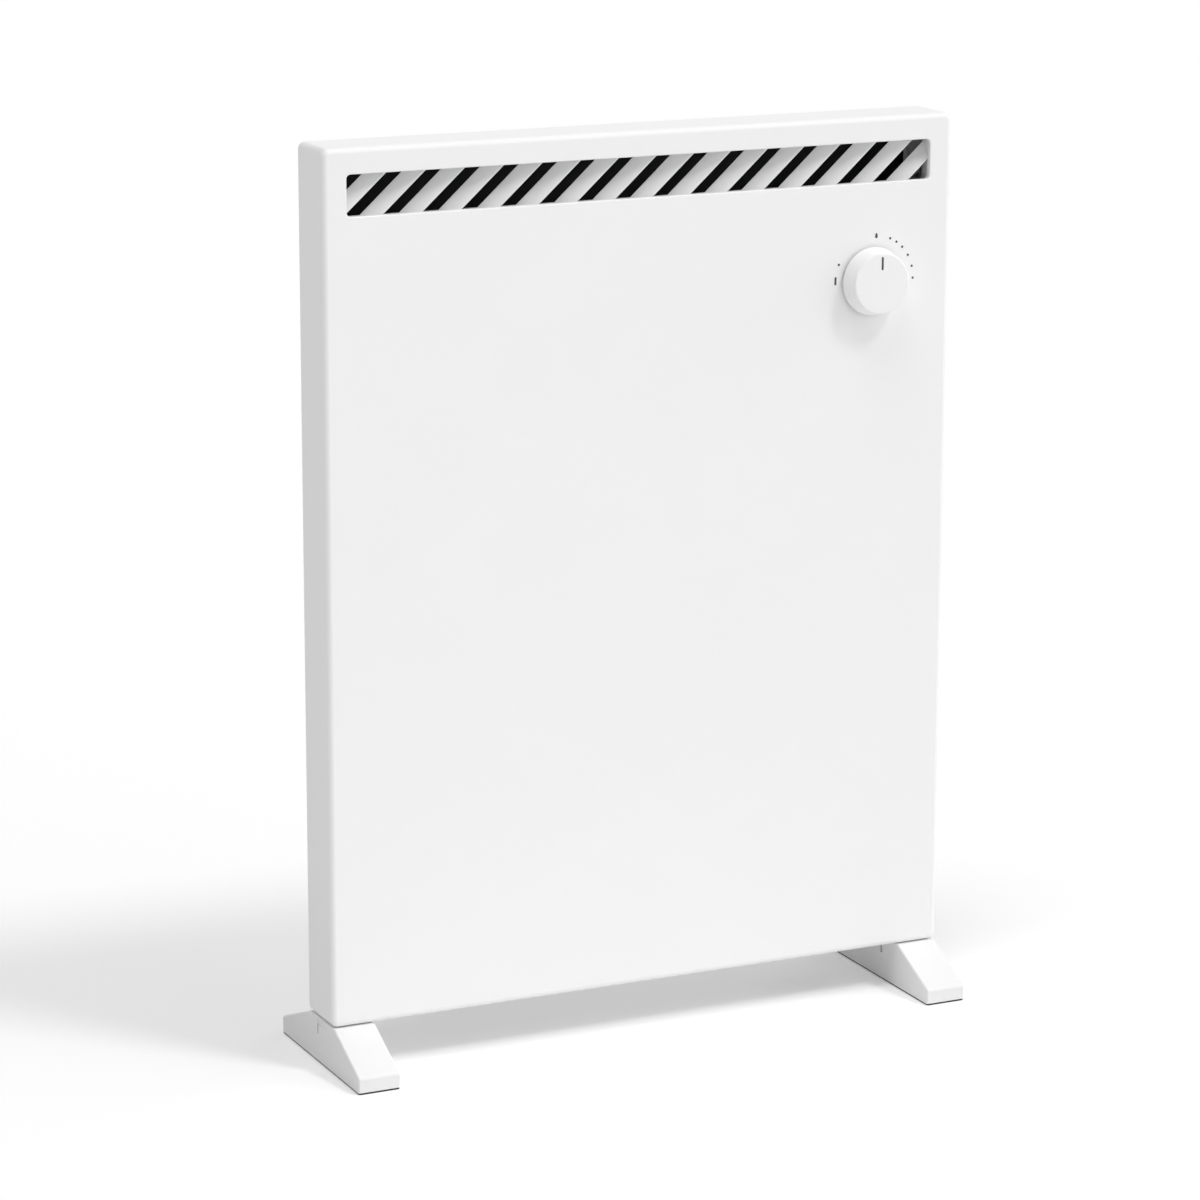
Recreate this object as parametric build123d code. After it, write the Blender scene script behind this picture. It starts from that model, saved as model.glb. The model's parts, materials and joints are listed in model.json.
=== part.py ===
from build123d import *
from math import cos, radians, sin, tan
import os

# Wall panel convector heater standing on two feet.
# Millimetres. +Z is up and -Y is the front. The origin is on the floor, under the middle of the feet.
# "deep" is a distance back from the front face, "high" a distance up from the panel's underside.

# ---- Flat sides that stand for small round outlines ----
hole_sides = 6
head_sides = 10
hollow_sides = 20

# ---- Panel ----
panel_width = 480.0
panel_height = 613.0
panel_depth = 45.0
ground_gap = 34.0          # floor to the panel's underside
sheet = 0.8                # steel of the cover and the rear panel
corner_radius = 8.0
front_round = 4.0          # rounding all round the front face
inner_crop = 2.4           # the same edge seen from inside the cover
return_flange = 12.0       # the cover's inward edge that the rear panel is screwed to
seam_inset = 2.0           # how far the rear panel stays inside the cover's outline

# ---- Outlet window and its louvre grille ----
window_margin = 17.5       # each side of the window
window_height = 28.5
window_drop = 18.0         # top of the panel to the top of the window
window_radius = 3.0
hem_depth = 3.5            # how deep the window's edge is folded in
hem_round = 0.6
grille_rim = 8.0           # frame round the slats, behind the cover
grille_depth = 9.6
rim_hollow = 1.0           # how far the frame's opening clears the window all round
slat_pitch = 28.75         # along the window
slat_lead = 0.1            # bottom left corner of the window to the first slat's front edge
slat_angle = 42.0          # degrees from level, rising to the right
slat_width = 9.9           # seen square from the front, across the slat
slat_drop = 7.8            # how much deeper its upper left edge lies
slat_thickness = 1.4
slat_crop = 0.4
slat_setback = 0.4         # slats behind the frame's front face
stud_radius = 1.5
stud_inset = 4.0           # from the window's edge to the weld studs
stud_reach = 3.0           # how far the studs stand out behind the grille's frame
push_nut_size = 8.0
push_nut_thickness = 0.8

# ---- Air path behind the front ----
intake_length = 34.0
intake_width = 5.0
intake_pitch = 46.0
intake_margin = 30.0       # solid metal between the feet and the first slot
intake_front_deep = 12.0
intake_rear_deep = 31.0
deflector_sheet = 0.6
deflector_foot = 14.0      # flat part on the rear panel
deflector_height = 81.0    # its lower edge to the panel's top
deflector_top_deep = 17.0
deflector_bend = 30.0
deflector_margin = 14.0    # to the cover's side walls
shield_sheet = 0.6
shield_edge = 4.0          # shield beyond the element brackets' feet
shield_low = 60.0
shield_high = 450.0
shield_standoff = 7.0      # behind the shield
shield_foot = 10.0
baffle_sheet = 0.6
baffle_low = 64.0
baffle_high = 420.0
baffle_standoff = 4.0      # in front of the baffle

# ---- Heating element ----
element_high = 150.0
element_deep = 21.0
element_room = 75.0        # each end of the fins to the panel's side
fin_height = 60.0
fin_span = 22.0            # front fin to rear fin
fin_thickness = 1.4
fin_rows = 5
fin_block = 82.0           # length of fin between two cuts
fin_cut = 2.4
core_radius = 7.0
spine = 2.4
rod_radius = 4.0
rod_overhang = 16.0        # rod beyond each bracket's arm
bracket_gap = 15.0         # end of the fins to a bracket's arm
bracket_sheet = 1.2
bracket_height = 30.0
bracket_foot = 16.0
bracket_nose = 11.0        # arm in front of the rod's axis
bush_radius = 6.0
bush_lip = 1.5
bush_length = 8.0
insulator_radius = 3.6
insulator_length = 5.0
pin_radius = 1.5
pin_length = 9.0

# ---- Dial and thermostat ----
dial_from_side = 62.8
dial_from_top = 116.4
knob_gap = 0.8
knob_height = 14.4
knob_base_radius = 24.4
knob_face_radius = 22.0    # at the cropped front edge
knob_crop = 1.2
knob_wall = 2.0
hub_radius = 6.0
hub_floor = 3.0            # plastic in front of the spindle's end
knob_ribs = 4
rib_thickness = 1.2
pointer_width = 1.6
pointer_length = 9.5
pointer_edge = 1.6         # pointer to the flat face's edge
pointer_groove = 0.6
spindle_radius = 3.0
spindle_flat = 1.6         # axis to the flat
spindle_depth = 14.0       # into the thermostat's body
running_gap = 0.05
dial_hole_gap = 1.0
spring_thickness = 0.5
spring_gap = 0.05
thermostat_width = 36.0
thermostat_height = 42.0
thermostat_depth = 20.0
thermostat_crop = 3.0
hanger_deep = 9.5          # middle of the bracket's plate
hanger_sheet = 1.0
hanger_width = 52.0
hanger_height = 36.0
hanger_foot = 10.0
stem_radius = 5.0
stem_reach = 4.5           # stem in front of the bracket
stem_nut_flats = 14.0
stem_nut_height = 3.2
blade_width = 6.3
blade_thickness = 0.8
blade_length = 8.0
live_blade = 8.0           # sideways from the dial's axis
switched_blade = -4.0
capillary_side = -14.0

# ---- Sensing bulb ----
bulb_radius = 3.0
bulb_length = 72.0
bulb_left = 36.0
bulb_deep = 21.5
bulb_high = 24.0
capillary_radius = 0.9
capillary_drop = 26.0      # below the thermostat before it leans out
capillary_lean = 26.0      # height over which it leans
capillary_low = 96.0       # where it turns in towards the bulb
capillary_run = 50.0       # level run before the bulb
capillary_gap = 6.0        # past the shield's foot
clip_width = 6.0
clip_wall = 1.5
clip_post = 3.0

# ---- Thermal cut-out ----
cutout_from_side = 90.0
cutout_high = 260.0
cutout_radius = 8.0
cutout_depth = 8.5
cutout_ear = 12.0          # disc's middle to each screw
cutout_ear_round = 4.0     # plate beyond each screw
cutout_ear_width = 9.0
cutout_plate = 0.8

# ---- Supply side ----
block_from_side = 57.0
block_low = 16.0
block_pole = 11.0
block_end = 3.0
block_height = 20.0
block_depth = 16.0
block_screw_radius = 2.4
block_screw_sink = 1.0
lead_exit = 4.4            # leads in front of the rear panel
earth_from_side = 18.0
earth_high = 46.0
earth_stud_radius = 2.0
earth_stud_length = 11.0
earth_nut_flats = 7.0
earth_nut_height = 3.0
lug_radius = 4.6
lug_thickness = 0.8
gland_from_side = 90.0
gland_deep = 30.0
gland_bore_radius = 3.75
gland_body_radius = 6.0
gland_head_flats = 17.0
gland_head_height = 5.0
gland_nut_flats = 16.0
gland_nut_height = 4.0
gland_tail = 2.0

# ---- Leads ----
lead_radius = 1.3
lead_sides = 5
sleeve_radius = 2.6
sleeve_length = 10.0
lane_from_side = 12.0      # where the live lead climbs
lane_deep = 30.0
lead_bend = 8.0
lead_turn = 12.0
wide_turn = 18.0
pin_turn = 4.0
lead_rise = 16.0           # straight run out of a terminal
lead_slant = 18.0          # height over which a lead crosses to its lane
live_top_drop = 56.0       # below the thermostat's blade, where the live lead leaves its lane
live_last_drop = 24.0
switched_top_drop = 60.0
switched_last_rise = 50.0
element_first_drop = 20.0
element_slant = 14.0
element_forward = 3.0
pin_clearance = 5.0        # sleeve's end to the lead that comes down beside it
neutral_front_drop = 46.0  # below the pin, where the neutral lead comes forward
neutral_rise = 18.0        # neutral lead above the terminal block
rear_clip_sides = (-150.0, -20.0, 110.0)
side_clip_levels = (150.0, 300.0, 400.0)

# ---- Feet ----
foot_width = 31.0
foot_inset = 1.0           # foot's outer side inside the panel's side
foot_front_reach = 45.0
foot_back_reach = 54.0
foot_front_lip = 11.8
foot_back_lip = 12.8
foot_shadow_gap = 1.0      # between the foot's top and the panel
foot_wall = 2.5
foot_crop = 0.9
foot_rib = 2.0
seat_margin = 3.0
pad_thickness = 1.2
pad_inset = 0.9
notch_width = 2.2
notch_height = 8.0
notch_below = 5.6          # panel's underside to the notch's top
outer_notch_deep = 30.5
inner_notch_deep = 24.7
thumb_length = 15.0
thumb_height = 4.4
thumb_recess = 0.8
foot_screw_radius = 2.5
foot_screw_deep = 11.0
foot_screw_spacing = 23.0
foot_screw_gap = 0.3
boss_radius = 6.5
boss_height = 8.0          # under the foot's top wall
screw_head_radius = 4.6
screw_head_height = 2.6
foot_nut_flats = 8.0
foot_nut_height = 4.0

# ---- Rear panel ----
case_screw_radius = 1.5
case_screw_gap = 0.05
case_screw_length = 8.0
case_head_radius = 3.4
case_head_height = 1.0
rear_hole_gap = 0.5
hook_spacing = 300.0
hook_high = 500.0
hook_head_radius = 5.5
hook_neck_radius = 2.75
hook_rise = 9.0
bead_width = 14.0
bead_height = 330.0
bead_depth = 2.0
bead_spacing = 150.0
bead_count = 3
bead_low = 80.0
small_screw_radius = 1.5
small_head_flats = 5.5
small_head_height = 2.0
small_screw_length = 5.0

# ---- Planes and levels that follow ----
foot_length = foot_front_reach + panel_depth + foot_back_reach
front_y = foot_front_reach - foot_length / 2
back_y = front_y + panel_depth
cover_back_y = back_y - sheet
rear_inner_y = cover_back_y
base_z = ground_gap
top_z = base_z + panel_height
mid_z = base_z + panel_height / 2
half_width = panel_width / 2
inner_half = half_width - sheet
window_width = panel_width - 2 * window_margin
window_z = top_z - window_drop - window_height / 2
dial_x = half_width - dial_from_side
dial_z = top_z - dial_from_top
foot_centre_x = half_width - foot_inset - foot_width / 2
flat_length = knob_height - hub_floor
element_length = panel_width - 2 * element_room
bracket_span = element_length + 2 * bracket_gap
rod_length = bracket_span + 2 * rod_overhang
shield_width = bracket_span + 2 * (bracket_foot + shield_edge)
cutout_side = half_width - cutout_from_side
block_side = half_width - block_from_side
earth_side = half_width - earth_from_side
gland_side = half_width - gland_from_side
side_lane = half_width - lane_from_side
foot_top_z = base_z - foot_shadow_gap
shield_front_y = rear_inner_y - shield_standoff - shield_sheet


def deep(distance):
    """The y of a plane that lies this far behind the front face."""
    return front_y + distance


def high(distance):
    """The z of a level that lies this far above the panel's underside."""
    return base_z + distance


# ---- Ways to draw and push an outline ----
def upright(outline, near_y, far_y):
    """Push an outline drawn in x and z from near_y back to far_y."""
    plane = Plane(origin=(0, far_y, 0), x_dir=(1, 0, 0), z_dir=(0, -1, 0))
    return extrude(plane * outline, amount=far_y - near_y)


def across(outline, left_x, right_x):
    """Push an outline drawn in y and z from left_x to right_x."""
    plane = Plane(origin=(left_x, 0, 0), x_dir=(0, 1, 0), z_dir=(1, 0, 0))
    return extrude(plane * outline, amount=right_x - left_x)


def level(outline, low_z, high_z):
    """Push an outline drawn in x and y from low_z up to high_z."""
    return extrude(Plane.XY.offset(low_z) * outline, amount=high_z - low_z)


def strip(points, thickness):
    """The edge view of a folded sheet whose middle line runs through the points."""
    return trace(Polyline(*points), thickness)


def hexagon(flats):
    return RegularPolygon(flats / 2, 6, major_radius=False)


def small_round(radius):
    """The outline of a small hole or shank."""
    return RegularPolygon(radius, hole_sides)


def wide_round(radius):
    """The outline of a screw's head or a small bush."""
    return RegularPolygon(radius, head_sides)


def long_hole(length, width):
    """A long hole with cropped corners."""
    return chamfer(Rectangle(length, width).vertices(), width * 0.3)


def fastener(tip, direction, head, head_height, shank_radius, shank_length):
    """A screw whose head's underside is at tip and whose shank runs along direction."""
    seat = Plane(origin=tip, x_dir=(1, 0, 0), z_dir=direction)
    shank = extrude(seat * small_round(shank_radius), amount=shank_length)
    return shank + extrude(seat * head, amount=-head_height)


def save(node, *solids):
    """Write one node's solids to its own file."""
    shape = solids[0] if len(solids) == 1 else Compound(children=list(solids))
    shape.label = node
    export_step(shape, f"parts/{node}.step")


# ---- Shared places ----
def stud_places():
    """Weld studs round the window, as x and z."""
    reach_x = window_width / 2 + stud_inset
    reach_z = window_height / 2 + stud_inset
    return [(x, window_z + side * reach_z) for x in (-reach_x, 0, reach_x) for side in (-1, 1)]


def case_screw_places():
    """Screws round the rear panel, as x and z."""
    x = panel_width / 2 - return_flange / 2 - sheet
    z = panel_height / 2 - return_flange / 2 - sheet
    sides = [(side * x, mid_z + z * share) for side in (-1, 1) for share in (-0.86, 0, 0.86)]
    ends = [(0, mid_z - z), (0, mid_z + z)]
    return sides + ends


def foot_screw_places():
    """Foot screws, as x and y."""
    rows = (deep(foot_screw_deep), deep(foot_screw_deep + foot_screw_spacing))
    return [(side * foot_centre_x, y) for side in (-1, 1) for y in rows]


def intake_places():
    """Intake slots in the underside, as x and y, clear of the feet and the cable gland."""
    reach = foot_centre_x - foot_width / 2 - intake_margin
    count = int(2 * reach / intake_pitch) + 1
    xs = [(k - (count - 1) / 2) * intake_pitch for k in range(count)]
    near = (intake_length + gland_head_flats) / 2 + intake_width
    slots = [(x, deep(intake_front_deep)) for x in xs]
    return slots + [(x, deep(intake_rear_deep)) for x in xs if abs(x - gland_side) > near]


# ---- Casing ----
def tray(inset, near_y, far_y):
    """A block with the panel's outline less an inset."""
    outline = RectangleRounded(panel_width - 2 * inset, panel_height - 2 * inset, corner_radius - inset)
    return upright(Pos(0, mid_z) * outline, near_y, far_y)


def front_edges(block):
    return block.edges().group_by(Axis.Y)[0]


def front_cover():
    """Pressed tray with a hemmed window, a spindle hole, intake slots and a return flange."""
    shell = tray(0, front_y, cover_back_y)
    cavity = tray(sheet, deep(sheet), cover_back_y - sheet)
    cover = fillet(front_edges(shell), front_round) - chamfer(front_edges(cavity), inner_crop)
    mouth = RectangleRounded(
        panel_width - 2 * return_flange, panel_height - 2 * return_flange, corner_radius / 2
    )
    cover -= upright(Pos(0, mid_z) * mouth, cover_back_y - 2 * sheet, cover_back_y + sheet)
    window = Pos(0, window_z) * RectangleRounded(window_width, window_height, window_radius)
    hem = Pos(0, window_z) * RectangleRounded(
        window_width + 2 * sheet, window_height + 2 * sheet, window_radius + sheet
    )
    cover += upright(hem, deep(sheet / 2), deep(hem_depth))
    cover -= upright(window, deep(-sheet), deep(hem_depth + sheet))
    face_edges = cover.edges().filter_by_position(Axis.Y, front_y - 0.01, front_y + 0.01)
    rim = face_edges.filter_by_position(Axis.Z, window_z - window_height, window_z + window_height)
    rim = rim.filter_by_position(Axis.X, -window_width / 2 - 0.01, window_width / 2 + 0.01)
    cover = chamfer(rim, hem_round)
    spindle_hole = Pos(dial_x, dial_z) * wide_round(spindle_radius + dial_hole_gap)
    cover -= upright(spindle_hole, deep(-sheet), deep(2 * sheet))
    slot = long_hole(intake_length, intake_width)
    slots = Sketch() + [Pos(x, y) * slot for x, y in intake_places()]
    holes = [Pos(x, y) * small_round(foot_screw_radius + foot_screw_gap) for x, y in foot_screw_places()]
    gland_hole = Pos(gland_side, deep(gland_deep)) * wide_round(gland_body_radius + foot_screw_gap)
    cover -= level(slots + holes + gland_hole, base_z - sheet, base_z + 2 * sheet)
    pilot = small_round(case_screw_radius + case_screw_gap)
    pilots = [Pos(x, z) * pilot for x, z in case_screw_places()]
    cover -= upright(Sketch() + pilots, cover_back_y - 2 * sheet, cover_back_y + sheet)
    stud_end = deep(hem_depth + grille_depth + stud_reach)
    studs = [Pos(x, z) * small_round(stud_radius) for x, z in stud_places()]
    return cover + upright(Sketch() + studs, deep(sheet / 2), stud_end)


def keyhole():
    """A round mouth for a screw head with a narrow neck above it, drawn round the mouth."""
    neck = Pos(0, hook_rise / 2) * Rectangle(2 * hook_neck_radius, hook_rise)
    return Circle(hook_head_radius) + neck + Pos(0, hook_rise) * Circle(hook_neck_radius)


def rear_panel():
    """Flat back with keyholes, screw holes and upright stiffening beads pressed inwards."""
    outline = RectangleRounded(
        panel_width - 2 * seam_inset, panel_height - 2 * seam_inset, corner_radius - seam_inset
    )
    panel = upright(Pos(0, mid_z) * outline, rear_inner_y, back_y)
    bead = Rot(0, 0, 90) * long_hole(bead_height, bead_width)
    inner_bead = Rot(0, 0, 90) * long_hole(bead_height + 2 * sheet, bead_width + 2 * sheet)
    bead_z = high(bead_low + bead_height / 2)
    for k in range(bead_count):
        centre = Pos((k - (bead_count - 1) / 2) * bead_spacing, bead_z)
        panel += upright(centre * inner_bead, rear_inner_y - bead_depth, rear_inner_y + sheet / 2)
        panel -= upright(centre * bead, back_y - bead_depth, back_y + sheet)
    hooks = [Pos(side * hook_spacing / 2, high(hook_high)) * keyhole() for side in (-1, 1)]
    hole = small_round(case_screw_radius + rear_hole_gap)
    holes = [Pos(x, z) * hole for x, z in case_screw_places()]
    return panel - upright(Sketch() + hooks + holes, rear_inner_y - sheet, back_y + sheet)


def case_screws():
    """Flat-headed self-tapping screws through the rear panel into the cover's flange."""
    head = wide_round(case_head_radius)
    return [
        fastener((x, back_y, z), (0, -1, 0), head, case_head_height, case_screw_radius, case_screw_length)
        for x, z in case_screw_places()
    ]


# ---- Louvre grille ----
def slat(front_edge_x):
    """A blade rising to the right, its lower right edge forward and its other edge deep and up left."""
    run, rise = cos(radians(slat_angle)), sin(radians(slat_angle))
    plane = Plane(
        origin=(front_edge_x, deep(hem_depth + slat_setback), window_z - window_height / 2),
        x_dir=(rise, 0, -run),
        z_dir=(run, 0, rise),
    )
    half = slat_thickness / 2
    line = Line((-half, half), (half - slat_width, half + slat_drop))
    blade = trace(line, slat_thickness)
    blade = chamfer(blade.vertices(), slat_crop)
    reach = window_height + 2 * grille_rim + 2 * slat_width
    return extrude(plane * blade, amount=reach, both=True)


def louvre_grille():
    """Frame behind the window, crossed by slanted slats at an even pitch."""
    near_y = deep(hem_depth)
    far_y = near_y + grille_depth
    hole = RectangleRounded(
        window_width + 2 * rim_hollow, window_height + 2 * rim_hollow, window_radius
    )
    outer = RectangleRounded(
        window_width + 2 * grille_rim, window_height + 2 * grille_rim, window_radius + grille_rim / 2
    )
    frame = upright(Pos(0, window_z) * (outer - hole), near_y, far_y)
    middle = RectangleRounded(
        window_width + grille_rim, window_height + grille_rim, window_radius
    )
    space = upright(Pos(0, window_z) * middle, near_y, far_y)
    count = int((window_width + window_height / tan(radians(slat_angle))) / slat_pitch) + 2
    first_x = -window_width / 2 + slat_lead - slat_pitch
    for k in range(count):
        frame += slat(first_x + k * slat_pitch) & space
    holes = [Pos(x, z) * small_round(stud_radius + case_screw_gap) for x, z in stud_places()]
    return frame - upright(Sketch() + holes, near_y - sheet, far_y + sheet)


def push_nuts():
    """Square spring plates pressed on the studs behind the grille's frame."""
    near_y = deep(hem_depth + grille_depth)
    plate = Rectangle(push_nut_size, push_nut_size) - small_round(stud_radius + case_screw_gap)
    return [
        upright(Pos(x, z) * plate, near_y, near_y + push_nut_thickness) for x, z in stud_places()
    ]


# ---- Air path ----
def air_deflector():
    """Curved sheet that turns the rising air forward to the window."""
    half = deflector_sheet / 2
    rear = rear_inner_y - half
    top = top_z - sheet - half
    nose = deep(deflector_top_deep)
    points = [
        (rear, top_z - deflector_height),
        (rear, top - deflector_bend * 0.75),
        (nose + deflector_bend * 0.4, top),
        (nose, top),
    ]
    radii = [deflector_bend, deflector_bend * 0.3]
    half_length = inner_half - deflector_margin
    section = trace(FilletPolyline(*points, radius=radii), deflector_sheet)
    return across(section, -half_length, half_length)


def hat(half_plate, foot, seat_y, plate_y, thickness):
    """A hat-shaped folded sheet in plan: a plate with two legs and two feet turned outwards."""
    points = [
        (-half_plate - foot, seat_y),
        (-half_plate, seat_y),
        (-half_plate, plate_y),
        (half_plate, plate_y),
        (half_plate, seat_y),
        (half_plate + foot, seat_y),
    ]
    return strip(points, thickness)


def heat_shield():
    """Bright sheet between the element and the rear panel, on its own folded feet."""
    seat = rear_inner_y - shield_sheet / 2
    plate = shield_front_y + shield_sheet / 2
    plan = hat(shield_width / 2, shield_foot, seat, plate, shield_sheet)
    shield = level(plan, high(shield_low), high(shield_high))
    x = bracket_span / 2 + bracket_foot / 2
    z = bracket_height * 0.3
    places = [(side * x, high(element_high) + rise) for side in (-1, 1) for rise in (-z, z)]
    places += [(cutout_side + side * cutout_ear, high(cutout_high)) for side in (-1, 1)]
    holes = [Pos(*place) * small_round(small_screw_radius + case_screw_gap) for place in places]
    return shield - upright(Sketch() + holes, shield_front_y - sheet, plate + sheet)


def front_baffle():
    """Sheet that keeps the element's heat off the front face."""
    seat = deep(sheet + baffle_sheet / 2)
    plate = deep(sheet + baffle_standoff + baffle_sheet / 2)
    plan = hat(shield_width / 2, shield_foot, seat, plate, baffle_sheet)
    return level(plan, high(baffle_low), high(baffle_high))


# ---- Heating element ----
def round_rod_hole():
    """Flat-sided hole that clears the round rod."""
    return RegularPolygon(rod_radius + running_gap, head_sides, major_radius=False)


def element_fins():
    """Extruded body with rows of upright fins, cut across so that it can expand."""
    y = deep(element_deep)
    z = high(element_high)
    section = wide_round(core_radius) + Rectangle(fin_span, spine)
    for k in range(fin_rows):
        offset = (k - (fin_rows - 1) / 2) * (fin_span - fin_thickness) / (fin_rows - 1)
        section += Pos(offset, 0) * Rectangle(fin_thickness, fin_height)
    section -= round_rod_hole()
    body = across(Pos(y, z) * section, -element_length / 2, element_length / 2)
    count = int(element_length / fin_block)
    fin_room = (fin_height - 2 * core_radius) / 2
    cut = Rectangle(fin_span + 2, fin_room)
    rise = core_radius + fin_room / 2 + 1
    for k in range(1, count):
        x = (k - count / 2) * fin_block
        for side in (-1, 1):
            body -= across(Pos(y, z + side * rise) * cut, x - fin_cut / 2, x + fin_cut / 2)
    return body


def on_rod(outline, start_x, end_x):
    """Push an outline centred on the element's rod from start_x to end_x."""
    return across(Pos(deep(element_deep), high(element_high)) * outline, start_x, end_x)


def heater_rod():
    """Sheathed heater with a connecting pin at each end."""
    half = rod_length / 2
    rod = on_rod(Circle(rod_radius), -half, half)
    pin_end = half + insulator_length + pin_length
    for side in (-1, 1):
        low, top = sorted((side * half, side * pin_end))
        rod += on_rod(small_round(pin_radius), low, top)
    return rod


def element_insulators():
    """Ceramic beads where the pins leave the rod."""
    ring = wide_round(insulator_radius) - small_round(pin_radius + running_gap)
    half = rod_length / 2
    ends = [sorted((side * half, side * (half + insulator_length))) for side in (-1, 1)]
    return [on_rod(ring, low, top) for low, top in ends]


def element_bushes():
    """Grooved ceramic bushes that the rod can slide in, one in each bracket."""
    bushes = []
    for side in (-1, 1):
        x = side * bracket_span / 2
        wide = wide_round(bush_radius + bush_lip) - round_rod_hole()
        bush = on_rod(wide, x - bush_length / 2, x + bush_length / 2)
        groove = wide_round(bush_radius + bush_lip + 1) - wide_round(bush_radius)
        half = bracket_sheet / 2 + running_gap
        bushes.append(bush - on_rod(groove, x - half, x + half))
    return bushes


def element_bracket(side):
    """Folded angle screwed to the shield, its arm reaching forward to hold the rod."""
    half = bracket_sheet / 2
    foot_y = shield_front_y - half
    x = side * bracket_span / 2
    points = [
        (x + side * bracket_foot, foot_y),
        (x, foot_y),
        (x, deep(element_deep - bracket_nose)),
    ]
    z = high(element_high)
    bracket = level(strip(points, bracket_sheet), z - bracket_height / 2, z + bracket_height / 2)
    bracket -= on_rod(wide_round(bush_radius + running_gap), x - bracket_sheet, x + bracket_sheet)
    hole_x = side * (bracket_span + bracket_foot) / 2
    rise = bracket_height * 0.3
    hole = small_round(small_screw_radius + case_screw_gap)
    holes = [Pos(hole_x, z + r) * hole for r in (-rise, rise)]
    return bracket - upright(Sketch() + holes, foot_y - bracket_sheet, shield_front_y + sheet)


def small_screw(x, y, z):
    """A small hexagon screw driven towards the back, its head's underside at y."""
    return fastener(
        (x, y, z), (0, 1, 0), hexagon(small_head_flats), small_head_height,
        small_screw_radius, small_screw_length,
    )


def element_screws():
    """Screws that hold the two brackets to the shield."""
    x = (bracket_span + bracket_foot) / 2
    rise = bracket_height * 0.3
    y = shield_front_y - bracket_sheet
    z = high(element_high)
    return [small_screw(side * x, y, z + r) for side in (-1, 1) for r in (-rise, rise)]


# ---- Dial and thermostat ----
def dial_plane(distance):
    """A plane across the dial's axis, this far in front of the face, drawn as seen from the front."""
    return Plane(origin=(dial_x, deep(-distance), dial_z), x_dir=(1, 0, 0), z_dir=(0, -1, 0))


def on_dial(outline, start, end):
    """Push an outline along the dial's axis, both distances counted forward from the face."""
    return extrude(dial_plane(start) * outline, amount=end - start)


def spindle_outline(gap=0.0):
    """A round shaft with one flat on its upper side, grown by a gap."""
    radius = spindle_radius + gap
    cut = Pos(0, spindle_flat + gap + radius) * Rectangle(3 * radius, 2 * radius)
    return Circle(radius) - cut


def knob():
    """Tapered hollow dial with a cropped front edge, a hub, ribs and a pointer groove."""
    front = knob_gap + knob_height
    floor = front - knob_wall
    hollow_radius = knob_face_radius - knob_wall
    solid = Polyline(
        (0, knob_gap),
        (knob_base_radius, knob_gap),
        (knob_face_radius, front - knob_crop),
        (knob_face_radius - knob_crop, front),
        (0, front),
        close=True,
    )
    flip = Plane(origin=(dial_x, front_y, dial_z), x_dir=(1, 0, 0), z_dir=(0, 0, -1))
    axis = Axis((dial_x, front_y, dial_z), (0, -1, 0))
    body = revolve(flip * make_face(solid), axis)
    hub = wide_round(hub_radius)
    hollow = RegularPolygon(hollow_radius, hollow_sides) - hub
    body -= on_dial(hollow, knob_gap - 1, floor)
    rib_start = (knob_gap + floor) / 2
    rib_length = hollow_radius + knob_wall / 2
    rib = Pos(rib_length / 2, 0) * Rectangle(rib_length, rib_thickness) & hollow
    for k in range(knob_ribs):
        spoke = Rot(0, 0, 45 + 360 / knob_ribs * k) * rib
        body += on_dial(spoke, rib_start, floor)
    socket = spindle_outline(running_gap)
    spring_slot = Pos(0, spindle_flat + (spring_thickness + 3 * spring_gap) / 2) * Rectangle(
        spindle_radius + 1, spring_thickness + 3 * spring_gap
    )
    body -= on_dial(socket + spring_slot, knob_gap - 1, front - hub_floor)
    return body - on_dial(pointer_outline(), front - pointer_groove, front + 1)


def pointer_outline():
    """The pointer's bar, straight up from the dial's axis when the dial is at rest."""
    outer_end = knob_face_radius - knob_crop - pointer_edge
    bar = Rot(0, 0, 90) * long_hole(pointer_length, pointer_width)
    return Pos(0, outer_end - pointer_length / 2) * bar


def knob_pointer():
    """Dark inlay that fills the pointer groove flush."""
    front = knob_gap + knob_height
    return on_dial(pointer_outline(), front - pointer_groove, front)


def knob_spring():
    """Leaf spring between the spindle's flat and the hub."""
    low = spindle_flat + spring_gap
    outline = Pos(0, low + spring_thickness / 2) * Rectangle(spindle_radius, spring_thickness)
    front = knob_gap + knob_height - hub_floor
    return on_dial(outline, front - flat_length + 0.5, front - 0.3)


def thermostat_spindle():
    """Shaft with a flat for the knob, its rear end inside the thermostat."""
    tip = knob_gap + knob_height - hub_floor - 0.3
    rear = -(hanger_deep + hanger_sheet / 2 + spindle_depth)
    shaft = on_dial(Circle(spindle_radius), rear, tip - flat_length)
    return shaft + on_dial(spindle_outline(), tip - flat_length, tip)


def thermostat_body():
    """Moulded body with a hollow stem that the spindle turns in."""
    face = -(hanger_deep + hanger_sheet / 2)
    outline = chamfer(Rectangle(thermostat_width, thermostat_height).vertices(), thermostat_crop)
    body = on_dial(outline, face - thermostat_depth, face)
    body += on_dial(wide_round(stem_radius), face, face + hanger_sheet + stem_reach)
    rear = face - spindle_depth
    bore = Circle(spindle_radius + running_gap)
    return body - on_dial(bore, rear - running_gap, face + hanger_sheet + stem_reach + 1)


def thermostat_blades():
    """Push-on contact blades under the thermostat."""
    y = deep(hanger_deep + hanger_sheet / 2 + thermostat_depth / 2)
    low = dial_z - thermostat_height / 2 - blade_length
    blade = Rectangle(blade_width, blade_thickness)
    return [
        level(Pos(dial_x + side, y) * blade, low, low + blade_length)
        for side in (live_blade, switched_blade)
    ]


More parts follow.
